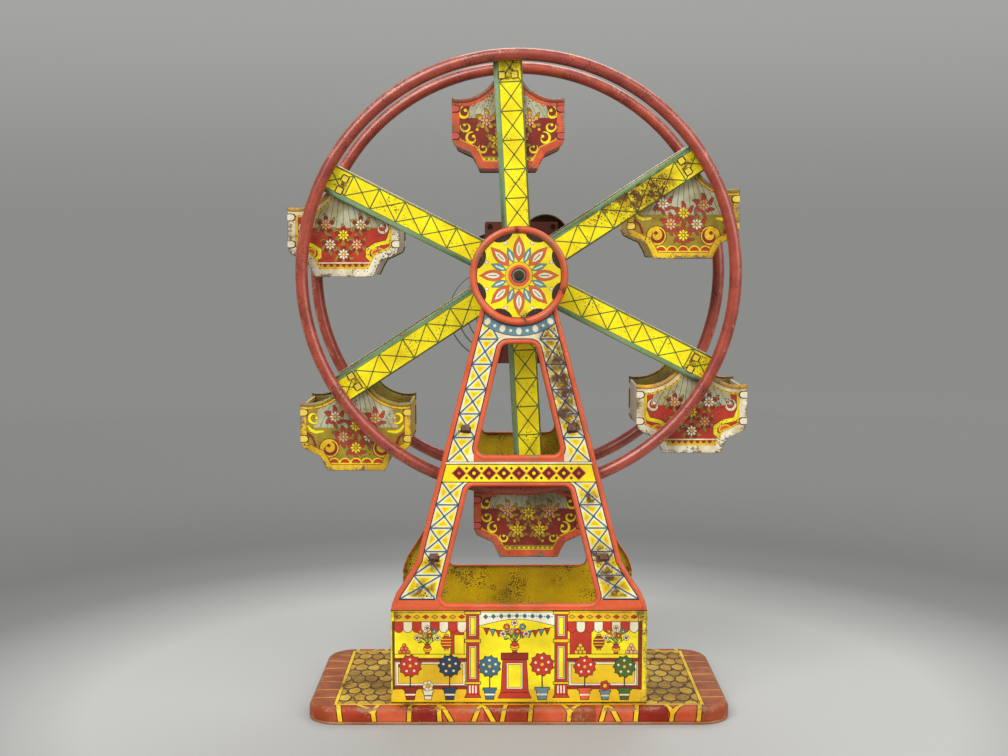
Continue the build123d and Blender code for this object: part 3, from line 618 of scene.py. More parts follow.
# ---- shader effects
class Nodes:
    """Adds nodes to one node tree and joins them."""

    def __init__(self, tree: Tree) -> None:
        """Starts with an empty tree."""
        tree.nodes.clear()
        self.tree = tree

    def add(self, kind: str, feeds: dict | None = None, **settings: object) -> bpy.types.Node:
        """Adds a node.

        Args:
            kind: Blender's name of the node.
            feeds: Socket name or number to a value or to another node's output.
            **settings: Values of the node's own properties.

        Returns:
            The node.
        """
        node = self.tree.nodes.new(kind)
        for name, value in settings.items():
            setattr(node, name, value)
        for key, value in (feeds or {}).items():
            if isinstance(value, Socket):
                self.tree.links.new(value, node.inputs[key])
            else:
                node.inputs[key].default_value = value
        return node

    def math(self, operation: str, a: object, b: object = 0.0, clamp: bool = False) -> Socket:
        """Result of a Math node of two values."""
        return self.add("ShaderNodeMath", {0: a, 1: b}, operation=operation, use_clamp=clamp).outputs[0]

    def mix(self, share: object, a: object, b: object, blend: str = "MIX") -> Socket:
        """Colour between two colours."""
        feeds = {0: share, 6: a, 7: b}
        return self.add("ShaderNodeMix", feeds, data_type="RGBA", blend_type=blend).outputs[2]

    def noise(self, place: object, scale: object, detail: float = 3.0, rough: float = 0.55) -> Socket:
        """Soft noise from 0 to 1 at a scale in waves per metre."""
        feeds = {"Vector": place, "Scale": scale, "Detail": detail, "Roughness": rough}
        return self.add("ShaderNodeTexNoise", feeds).outputs["Fac"]

    def effect(self, tree: Tree, **feeds: object) -> Socket:
        """Output of a shared effect with the given inputs."""
        return self.add("ShaderNodeGroup", feeds, node_tree=tree).outputs[0]

    def between(self, value: object, low: float, high: float) -> Socket:
        """The value's smooth rise from 0 at low to 1 at high."""
        feeds = {"Value": value, "From Min": low, "From Max": high}
        return self.add("ShaderNodeMapRange", feeds, interpolation_type="SMOOTHSTEP").outputs[0]


class Effects:
    """Shader node groups that the finishes share, each made once."""

    @staticmethod
    def group(name: str, inputs: dict[str, float], output: str) -> tuple[Tree, Nodes, dict]:
        """Starts a group with a Vector input, number inputs and one output.

        Args:
            name: Name of the group.
            inputs: Number inputs with their usual values.
            output: Name of the one value it puts out.

        Returns:
            The tree, its node helper and its inputs by name.
        """
        tree = bpy.data.node_groups.new(name, "ShaderNodeTree")
        tree.interface.new_socket("Vector", in_out="INPUT", socket_type="NodeSocketVector")
        for key, value in inputs.items():
            socket = tree.interface.new_socket(key, in_out="INPUT", socket_type="NodeSocketFloat")
            socket.default_value = value
        tree.interface.new_socket(output, in_out="OUTPUT", socket_type="NodeSocketFloat")
        nodes = Nodes(tree)
        given = nodes.add("NodeGroupInput").outputs
        return tree, nodes, {key: given[key] for key in ["Vector", *inputs]}

    @staticmethod
    @cache
    def mottling() -> Tree:
        """Slow change of tone over a surface.

        Returns:
            The group.
        """
        tree, n, i = Effects.group("mottling", {"Scale": 60.0}, "Value")
        slow = n.noise(i["Vector"], i["Scale"], 5.0, 0.6)
        n.add("NodeGroupOutput", {"Value": n.between(slow, 0.32, 0.68)})
        return tree

    @staticmethod
    @cache
    def rust_specks() -> Tree:
        """Pin-head rust spots that gather in patches, and solid rust where a stain is marked.

        Returns:
            The group.
        """
        inputs = {"Scale": 600.0, "Density": 0.2, "Stain": 0.0}
        tree, n, i = Effects.group("rust_specks", inputs, "Mask")
        cells = n.add("ShaderNodeTexVoronoi", {"Vector": i["Vector"], "Scale": i["Scale"]}).outputs["Distance"]
        patches = n.between(n.noise(i["Vector"], n.math("MULTIPLY", i["Scale"], 0.09), 4.0), 0.42, 0.68)
        patches = n.math("MULTIPLY", patches, 0.8)
        size = n.math("MULTIPLY", i["Density"], n.math("ADD", patches, 0.45))
        size = n.math("ADD", size, n.math("MULTIPLY", i["Stain"], 0.26))
        spots = n.math("MULTIPLY", n.math("SUBTRACT", size, cells), 14.0, clamp=True)
        clouds = n.noise(i["Vector"], n.math("MULTIPLY", i["Scale"], 0.3), 6.0, 0.65)
        broken = n.between(n.math("ADD", clouds, n.math("MULTIPLY", i["Stain"], 0.22)), 0.64, 0.76)
        solid = n.math("MULTIPLY", broken, i["Stain"], clamp=True)
        n.add("NodeGroupOutput", {"Mask": n.math("MAXIMUM", spots, solid)})
        return tree

    @staticmethod
    @cache
    def rub_marks() -> Tree:
        """Places where handling has rubbed the finish thin, most of all along edges.

        Returns:
            The group.
        """
        inputs = {"Scale": 90.0, "Amount": 0.3, "Edge": 0.0}
        tree, n, i = Effects.group("rub_marks", inputs, "Mask")
        broad = n.noise(i["Vector"], i["Scale"], 4.0, 0.6)
        fine = n.noise(i["Vector"], n.math("MULTIPLY", i["Scale"], 9.0), 4.0, 0.7)
        wear = n.math("ADD", n.math("MULTIPLY", broad, 0.5), n.math("MULTIPLY", fine, 0.5))
        wear = n.math("ADD", wear, n.math("MULTIPLY", i["Edge"], 0.16))
        level = n.math("SUBTRACT", n.math("ADD", wear, n.math("MULTIPLY", i["Amount"], 0.2)), 0.68)
        n.add("NodeGroupOutput", {"Mask": n.math("MULTIPLY", level, 16.0, clamp=True)})
        return tree

    @staticmethod
    @cache
    def old_grime() -> Tree:
        """Brown film of age in soft clouds.

        Returns:
            The group.
        """
        tree, n, i = Effects.group("old_grime", {"Scale": 25.0, "Amount": 0.3, "Stain": 0.0}, "Mask")
        cloud = n.between(n.noise(i["Vector"], i["Scale"], 7.0, 0.62), 0.4, 0.75)
        smear = n.between(n.noise(i["Vector"], n.math("MULTIPLY", i["Scale"], 7.0), 5.0, 0.65), 0.30, 0.58)
        smear = n.math("MULTIPLY", smear, i["Stain"], clamp=True)
        film = n.math("MULTIPLY", cloud, i["Amount"])
        n.add("NodeGroupOutput", {"Mask": n.math("MAXIMUM", film, smear)})
        return tree

    @staticmethod
    @cache
    def fine_relief() -> Tree:
        """Fine unevenness of the surface.

        Returns:
            The group.
        """
        tree, n, i = Effects.group("fine_relief", {"Scale": 900.0}, "Height")
        fine = n.noise(i["Vector"], i["Scale"], 3.0)
        slow = n.noise(i["Vector"], n.math("MULTIPLY", i["Scale"], 0.04), 2.0)
        n.add("NodeGroupOutput", {"Height": n.math("ADD", n.math("MULTIPLY", fine, 0.35), slow)})
        return tree


@dataclass(frozen=True)
class Finish:
    """One finish of the toy.

    Attributes:
        name: Name of the material.
        colour: Display colour of the new surface.
        shade: Second tone that the mottling brings in.
        roughness: Roughness where the surface is sound.
        metallic: 1 for bare metal.
        coat: Weight of the varnish.
        mottle: Scale of the change of tone.
        specks: Density of rust spots.
        speck_scale: Scale of rust spots.
        rust: Colour of the spots.
        rubs: Amount of rubbed places.
        bare: Colour under the finish.
        bare_metal: How metallic the rubbed places are.
        grime: Amount of the brown film.
        relief: Height of the fine unevenness.
        relief_scale: Scale of the fine unevenness.
        specular: Level of the highlight of the paint.
    """

    name: str
    colour: Tone = (0.5, 0.5, 0.5)
    shade: Tone = (0.4, 0.4, 0.4)
    roughness: float = 0.4
    metallic: float = 0.0
    coat: float = 0.0
    mottle: float = 60.0
    specks: float = 0.14
    speck_scale: float = 600.0
    rust: Tone = (0.30, 0.17, 0.10)
    rubs: float = 0.3
    bare: Tone = (0.62, 0.58, 0.52)
    bare_metal: float = 0.5
    grime: float = 0.2
    relief: float = 0.02
    relief_scale: float = 900.0
    specular: float = 0.5

    def base(self, nodes: Nodes, tone: Socket) -> Socket:
        """Colour of the sound surface."""
        return nodes.mix(tone, linear(self.colour), linear(self.shade))

    def material(self) -> bpy.types.Material:
        """The finish as a material, made on first use.

        Returns:
            The Blender material.
        """
        made = bpy.data.materials.get(self.name)
        if made is not None:
            return made
        made = bpy.data.materials.new(self.name)
        made.use_nodes = True
        n = Nodes(made.node_tree)
        place = n.add("ShaderNodeTexCoord").outputs["Object"]
        age = n.add("ShaderNodeAttribute", attribute_name="age").outputs["Color"]
        aged = n.add("ShaderNodeSeparateColor", {"Color": age}).outputs
        tone = n.effect(Effects.mottling(), Vector=place, Scale=self.mottle)
        specks = n.effect(Effects.rust_specks(), Vector=place, Scale=self.speck_scale, Density=self.specks,
                          Stain=aged["Green"])
        rubs = n.effect(Effects.rub_marks(), Vector=place, Amount=self.rubs, Edge=aged["Red"])
        grime = n.effect(Effects.old_grime(), Vector=place, Amount=self.grime, Stain=aged["Green"])
        relief = n.effect(Effects.fine_relief(), Vector=place, Scale=self.relief_scale)
        colour = self.base(n, tone)
        colour = n.mix(rubs, colour, linear(self.bare))
        colour = n.mix(grime, colour, n.mix(1.0, colour, linear((0.50, 0.40, 0.27)), "MULTIPLY"))
        colour = n.mix(specks, colour, linear(self.rust))
        rough = n.math("ADD", n.math("MULTIPLY", specks, 0.35), self.roughness)
        rough = n.math("ADD", rough, n.math("MULTIPLY", tone, 0.10))
        metal = n.math("MULTIPLY", rubs, self.bare_metal)
        metal = n.math("MAXIMUM", metal, self.metallic)
        metal = n.math("MULTIPLY", metal, n.math("SUBTRACT", 1.0, specks))
        height = n.math("SUBTRACT", relief, n.math("MULTIPLY", specks, 0.6))
        bump = n.add("ShaderNodeBump", {"Height": height, "Strength": 1.0, "Distance": self.relief * MM})
        feeds = {
            "Base Color": colour,
            "Roughness": n.math("MINIMUM", rough, 0.95),
            "Metallic": metal,
            "Specular IOR Level": self.specular,
            "Normal": bump.outputs[0],
            "Coat Weight": self.coat,
            "Coat Roughness": 0.22,
        }
        shader = n.add("ShaderNodeBsdfPrincipled", feeds)
        n.add("ShaderNodeOutputMaterial", {"Surface": shader.outputs[0]})
        return made


@dataclass(frozen=True)
class PrintedTin(Finish):
    """Finish whose colours are the inks printed on the sheet."""

    def base(self, nodes: Nodes, tone: Socket) -> Socket:
        """The printed ink, a little darker in the mottling."""
        ink = nodes.add("ShaderNodeAttribute", attribute_name="ink").outputs["Color"]
        return nodes.mix(tone, ink, nodes.mix(1.0, ink, linear(self.shade), "MULTIPLY"))


@dataclass(frozen=True)
class StainedWood(Finish):
    """Finish with grain that runs along the toy's depth."""

    def base(self, nodes: Nodes, tone: Socket) -> Socket:
        """The stain, darker in the grain.

        Args:
            nodes: Nodes of the material.
            tone: Its mottling.

        Returns:
            The colour.
        """
        place = nodes.add("ShaderNodeTexCoord").outputs["Object"]
        drawn = nodes.add("ShaderNodeMapping", {"Vector": place, "Scale": (1.0, 0.08, 1.0)}).outputs[0]
        grain = nodes.between(nodes.noise(drawn, 1400.0, 5.0, 0.6), 0.38, 0.66)
        grained = nodes.mix(grain, linear(self.colour), linear(self.shade))
        return nodes.mix(nodes.math("MULTIPLY", tone, 0.4), grained, linear(self.shade))


LITHO = PrintedTin(
    "printed_tin", shade=(0.92, 0.88, 0.78), roughness=0.36, coat=0.15, specks=0.13, speck_scale=520.0,
    rubs=0.26, bare=(0.60, 0.46, 0.34), bare_metal=0.25, grime=0.34, specular=0.35)
LITHO_WHEEL = PrintedTin(
    "printed_tin_wheel", shade=(0.93, 0.88, 0.70), roughness=0.38, coat=0.04, specks=0.24, speck_scale=700.0,
    rubs=0.1, bare=(0.52, 0.46, 0.28), bare_metal=0.2, grime=0.18, specular=0.2)
LITHO_CAR = PrintedTin(
    "printed_tin_car", shade=(0.80, 0.74, 0.60), roughness=0.38, coat=0.15, specks=0.28, speck_scale=620.0,
    rubs=0.46, bare=(0.50, 0.42, 0.34), bare_metal=0.3, grime=0.6, specular=0.35)
LITHO_BASE = PrintedTin(
    "printed_tin_base", shade=(0.88, 0.80, 0.64), roughness=0.44, coat=0.0, specks=0.16, speck_scale=520.0,
    rubs=0.30, bare=(0.58, 0.42, 0.30), bare_metal=0.1, grime=0.5, specular=0.14)
INSIDE_YELLOW = Finish(
    "speckled_inside", (0.84, 0.70, 0.05), (0.70, 0.58, 0.04), 0.38, coat=0.15, mottle=30.0, specks=0.38,
    speck_scale=860.0, rust=(0.26, 0.17, 0.05), rubs=0.1, bare=(0.55, 0.45, 0.2), grime=0.4, specular=0.4)
INSIDE_CAR = Finish(
    "car_inside", (0.56, 0.48, 0.16), (0.40, 0.34, 0.12), 0.42, mottle=40.0, specks=0.4, speck_scale=800.0,
    rust=(0.18, 0.11, 0.06), rubs=0.1, bare=(0.45, 0.38, 0.2), grime=0.6)
INSIDE_TIN = Finish(
    "plain_inside", (0.60, 0.57, 0.50), (0.48, 0.44, 0.37), 0.42, metallic=0.4, specks=0.3,
    rust=(0.34, 0.20, 0.11), grime=0.4, mottle=30.0)
RING_RED = Finish(
    "ring_enamel", (0.63, 0.27, 0.19), (0.53, 0.19, 0.13), 0.28, coat=0.35, mottle=110.0, specks=0.30,
    speck_scale=560.0, rust=(0.22, 0.11, 0.08), rubs=0.3, bare=(0.74, 0.44, 0.31), bare_metal=0.1, grime=0.35)
TUB_RED = Finish(
    "tub_red", (0.66, 0.28, 0.19), (0.48, 0.19, 0.12), 0.4, coat=0.2, specks=0.26, rubs=0.36,
    bare=(0.72, 0.50, 0.42), bare_metal=0.2, grime=0.6)
TUB_CREAM = Finish(
    "tub_cream", (0.52, 0.44, 0.34), (0.32, 0.25, 0.18), 0.42, coat=0.1, specks=0.36, rubs=0.4,
    bare=(0.74, 0.70, 0.60), bare_metal=0.2, grime=0.8)
TUB_YELLOW = Finish(
    "tub_yellow", (0.56, 0.46, 0.22), (0.38, 0.28, 0.14), 0.42, coat=0.1, specks=0.36, rubs=0.4,
    bare=(0.72, 0.60, 0.44), bare_metal=0.2, grime=0.6)
TAB_YELLOW = Finish(
    "tab_yellow", (0.88, 0.78, 0.20), (0.78, 0.66, 0.16), 0.4, specks=0.2, rubs=0.4, bare=(0.90, 0.84, 0.50),
    bare_metal=0.2, grime=0.35)
TAB_RUST = Finish(
    "brace_rust", (0.58, 0.44, 0.36), (0.40, 0.27, 0.20), 0.5, metallic=0.3, specks=0.34, rubs=0.4, grime=0.5)
MOTOR_PAINT = Finish(
    "motor_paint", (0.32, 0.11, 0.09), (0.20, 0.06, 0.05), 0.34, coat=0.3, specks=0.34, rust=(0.14, 0.07, 0.05),
    rubs=0.42, bare=(0.40, 0.24, 0.18), bare_metal=0.4, grime=0.6)
STEEL = Finish(
    "steel", (0.52, 0.51, 0.48), (0.38, 0.36, 0.32), 0.34, metallic=1.0, specks=0.3, rubs=0.3,
    bare=(0.66, 0.65, 0.62), bare_metal=1.0, grime=0.4, relief_scale=1600.0)
BROWN_STEEL = Finish(
    "browned_steel", (0.26, 0.19, 0.15), (0.17, 0.11, 0.08), 0.42, metallic=0.8, specks=0.35, rubs=0.2,
    bare=(0.40, 0.34, 0.28), bare_metal=1.0, grime=0.5)
# Greenish axle steel, also darkened as painted shade for the axle end in the hub hole.
GREEN_STEEL = Finish(
    "axle_steel", (0.38, 0.37, 0.27), (0.22, 0.21, 0.14), 0.34, metallic=0.9, specks=0.3, rubs=0.36,
    bare=(0.66, 0.64, 0.52), bare_metal=1.0, grime=0.5)
BRASS = Finish(
    "gear_brass", (0.66, 0.52, 0.26), (0.48, 0.36, 0.17), 0.3, metallic=1.0, specks=0.22, rubs=0.35,
    bare=(0.80, 0.68, 0.38), bare_metal=1.0, grime=0.45, relief_scale=1400.0)
SPRING_BLUE = Finish(
    "spring_steel", (0.10, 0.10, 0.12), (0.05, 0.05, 0.06), 0.3, metallic=0.85, specks=0.24,
    rust=(0.18, 0.10, 0.07), rubs=0.3, bare=(0.34, 0.34, 0.36), bare_metal=1.0, grime=0.2)
BELL_RUST = Finish(
    "bell_metal", (0.42, 0.29, 0.17), (0.26, 0.16, 0.09), 0.42, metallic=0.6, specks=0.5, speck_scale=420.0,
    rust=(0.20, 0.11, 0.06), rubs=0.35, bare=(0.58, 0.45, 0.28), bare_metal=0.9, grime=0.6)
FLY_BLACK = Finish(
    "fly_black", (0.07, 0.07, 0.07), (0.04, 0.04, 0.04), 0.4, coat=0.2, specks=0.2, rubs=0.25,
    bare=(0.3, 0.28, 0.26), bare_metal=0.8, grime=0.2)
KNOB_WOOD = StainedWood(
    "knob_wood", (0.50, 0.20, 0.12), (0.34, 0.12, 0.07), 0.38, coat=0.5, mottle=320.0, specks=0.05, rubs=0.42,
    bare=(0.68, 0.48, 0.30), bare_metal=0.0, grime=0.4)


def fit(piece: bpy.types.Object, body: str, slot: str, nodes: list[str], *finishes: Finish) -> None:
    """Dresses a new piece and rides it on its body in place of its CAD nodes.

    Args:
        piece: The new piece.
        body: Body that carries it.
        slot: Name of a material slot, not used.
        nodes: CAD nodes that it stands for.
        *finishes: Finishes of the piece's material slots, outside first.
    """
    for finish in finishes:
        piece.data.materials.append(finish.material())
    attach(piece, body)
    if nodes:
        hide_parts(*nodes)
    LOG.info("%s: %d faces on %s", piece.name, len(piece.data.polygons), body)


# ---- base
@dataclass
class BasePan:
    """Drawn tray that the toy stands on, printed with paving and a brick border."""

    half_length: float = 133.0
    half_depth: float = 69.5
    height: float = 10.5
    corner: float = 20.0
    shoulder: float = 3.8
    hem: float = 1.7
    paving_x: float = 114.5
    paving_y: float = 60.2
    tower_line: float = 58.05
    slots: tuple[float, ...] = (-60.0, 0.0, 60.0)
    art: Artwork = field(init=False)

    def section(self) -> list[tuple[float, float, float]]:
        """Run along the unrolled sheet, distance from the core and height of each fold.

        Returns:
            One row for each fold, from the middle out.
        """
        flat = self.corner - self.shoulder
        rows = [(0.0, 0.0, self.height), (flat - 0.6, flat - 0.6, self.height)]
        for k in range(7):
            turn = radians(15 * k)
            bend, fall = self.shoulder * sin(turn), self.shoulder * (1 - cos(turn))
            rows.append((flat + self.shoulder * turn, flat + bend, self.height - fall))
        run = rows[-1][0]
        wall = self.height - self.shoulder
        seam = wall - self.hem
        drops = ((seam - 1.2, 0), (seam - 0.5, 0), (seam, 0.35), (seam + 0.4, 0.06),
                 (wall - self.hem * 0.5, 0), (wall - 0.3, 0.1), (wall, 0.5))
        rows += [(run + drop, self.corner - inset, wall - drop) for drop, inset in drops]
        return rows

    def loop(self, reach: float) -> Path:
        """Rounded rectangle at a distance from the core rectangle.

        Args:
            reach: The distance.

        Returns:
            Closed path, counter-clockwise.
        """
        x, y = self.half_length - self.corner, self.half_depth - self.corner
        path: Path = []
        for k, (sx, sy) in enumerate(((1, 1), (-1, 1), (-1, -1), (1, -1))):
            path += arc((sx * x, sy * y), reach, 90.0 * k, 90.0 * k + 90.0, 12)
        return path

    def place(self, flat: np.ndarray, height: np.ndarray) -> np.ndarray:
        """Folds the unrolled sheet: flat points to points in space.

        Args:
            flat: Points on the unrolled sheet.
            height: Height of each over it, unused because the folds give the relief.

        Returns:
            Points in space.
        """
        core = np.array([self.half_length - self.corner, self.half_depth - self.corner])
        near = np.clip(flat, -core, core)
        away = flat - near
        reach = np.linalg.norm(away, axis=1)
        rows = self.section()
        runs = [r[0] for r in rows]
        out = np.interp(reach, runs, [r[1] for r in rows])
        z = np.interp(reach, runs, [r[2] for r in rows])
        share = np.where(reach > 1e-9, out / np.maximum(reach, 1e-9), 1.0)
        xy = near + away * share[:, None]
        return np.column_stack([xy, z])

    def stones(self) -> None:
        """Paving of long rounded stones in staggered rows, each with a dark lower edge."""
        dice = Random(7)
        pitch_x, pitch_y = 8.6, 13.4
        columns, rows = int(2 * self.paving_x / pitch_x) + 2, int(2 * self.paving_y / pitch_y) + 2
        for row in range(rows):
            for column in range(columns):
                x = -self.paving_x + pitch_x * (column + 0.5 * (row % 2)) + dice.uniform(-0.9, 0.9)
                y = -self.paving_y + pitch_y * row + dice.uniform(-1.4, 1.4)
                wide, deep = dice.uniform(4.3, 4.9), dice.uniform(6.9, 8.0)
                skew = dice.uniform(-14, 14)
                shape = [(wide * dice.uniform(0.9, 1.06) * cos(t), deep * dice.uniform(0.92, 1.05) * sin(t))
                         for t in (2 * pi * k / 11 for k in range(11))]
                ink = dice.choice([Ink.STONE_LIGHT, Ink.STONE, Ink.STONE, Ink.STONE_DARK])
                stone = placed(shape, (x, y), skew)
                self.art.fill(ink, stone, Ink.JOINT, 0.75)
                self.art.swell(Ink.JOINT, (stone + stone)[5:13], [0.4, 1.0, 1.5, 1.8, 1.8, 1.5, 1.0, 0.4])
                for _ in range(4):
                    a = dice.uniform(-2.2, 2.2), dice.uniform(-4.0, 4.0)
                    tick = [a, (a[0] + dice.uniform(0.7, 1.7), a[1] + dice.uniform(-0.6, 1.6))]
                    self.art.line(Ink.JOINT, placed(tick, (x, y), skew), 0.4)

    def bricks(self) -> None:
        """Bricks of the border: crazy joints at front and back, straight ones at the ends."""
        edge = self.paving_y + 1.4
        out = self.half_depth + 14.0
        tints = [
            (-133, -112, Ink.BRICK), (-112, -90, Ink.RUSSET), (-90, -68, Ink.CORAL), (-68, -50, Ink.CRIMSON),
            (-50, -22, Ink.CORAL), (-22, 6, Ink.RUSSET), (6, 30, Ink.CORAL), (30, 48, Ink.BRICK),
            (48, 72, Ink.CORAL), (72, 93, Ink.CRIMSON), (93, 112, Ink.CORAL), (112, 133, Ink.BRICK),
        ]
        joints = [
            [(-113.5, -edge), (-110.5, -out)],
            [(-101.5, -edge), (-91.0, -71.0), (-89.5, -out)], [(-88.0, -edge), (-91.0, -71.0)],
            [(-68.0, -edge), (-69.0, -out)],
            [(-50.5, -edge), (-49.0, -out)], [(-50.5, -edge), (-38.0, -out)],
            [(-31.0, -out), (-23.5, -edge - 1.0), (-12.0, -out), (-8.0, -edge)],
            [(8.0, -edge), (6.0, -out)],
            [(27.0, -edge), (31.5, -70.5), (30.0, -out)], [(38.0, -edge), (31.5, -70.5)],
            [(49.0, -out), (55.0, -edge - 1.0), (66.0, -out)],
            [(74.0, -edge), (72.0, -out)],
            [(92.0, -edge), (95.5, -71.0), (94.0, -out)], [(103.0, -edge), (95.5, -71.0)],
            [(113.5, -edge), (111.0, -out)],
        ]
        for turn in (0.0, 180.0):
            for left, right, ink in tints:
                self.art.fill(ink, placed(rectangle(left, -out, right, -edge), (0, 0), turn))
            for ink, width in ((Ink.BLACK, 3.9), (Ink.YELLOW, 2.6)):
                for joint in joints:
                    self.art.line(ink, placed(joint, (0, 0), turn), width)
        dice = Random(3)
        for hand in (-1, 1):
            inner = self.paving_x + 1.8
            left, right = sorted((hand * inner, hand * 150.0))
            self.art.box(Ink.TAN, (left, -self.paving_y - 1.2, right, self.paving_y + 1.2))
            y = -46.0
            while y < 56.0:
                lean = dice.uniform(-2.5, 2.5)
                run = [(hand * inner, y), (hand * (inner + 14.0), y + lean), (hand * 150.0, y + 1.6 * lean)]
                self.art.line(Ink.MAROON, run, 1.7)
                self.art.line(Ink.YELLOW, run, 1.0)
                y += dice.uniform(14.0, 18.5)

    def draw(self) -> None:
        """Lays the whole print on the unrolled sheet."""
        rows = self.section()
        self.art = Artwork(self.loop(rows[-1][0]), Ink.CORAL)
        self.art.box(Ink.STONE_DARK, (-self.paving_x, -self.paving_y, self.paving_x, self.paving_y))
        self.stones()
        self.bricks()
        x, y = self.paving_x + 0.8, self.paving_y + 0.5
        frame_line = rectangle(-x, -y, x, y)
        self.art.line(Ink.BLACK, frame_line, 2.9, closed=True)
        self.art.line(Ink.YELLOW, frame_line, 2.1, closed=True)
        hem = rows[-1][0] - self.hem
        self.art.line(Ink.MAROON, self.loop(hem - 0.1), 0.5, closed=True)
        self.art.line(Ink.HEM, self.loop(hem + 0.9), 2.4, closed=True)
        for x in self.slots:
            for hand in (-1, 1):
                y = hand * self.tower_line
                self.art.holes.append(rectangle(x - 3.7, y - 0.35, x + 3.7, y + 0.35))
        self.art.folds = [(self.loop(r[0]), True) for r in rows[1:-1]]

    def build(self) -> None:
        """Builds the pan and dresses it."""
        self.draw()
        sheet = self.art.print()
        rows = self.section()
        reach = [self.loop(r[0]) for r in rows]
        worn = [path + path[:1] for path in (reach[4], reach[5], reach[-1])]
        sheet.edges = np.exp(-distance_to(sheet.points, worn) / 2.2)
        sheet.stain([((-118.0, -20.0), 9.0), ((-70.0, -64.0), 7.0), ((96.0, 40.0), 8.0)])
        piece = sheet.piece("base_pan_printed", self.place, smooth=50.0)
        fit(piece, "stand", "base_litho", ["base_pan"], LITHO_BASE, INSIDE_TIN)


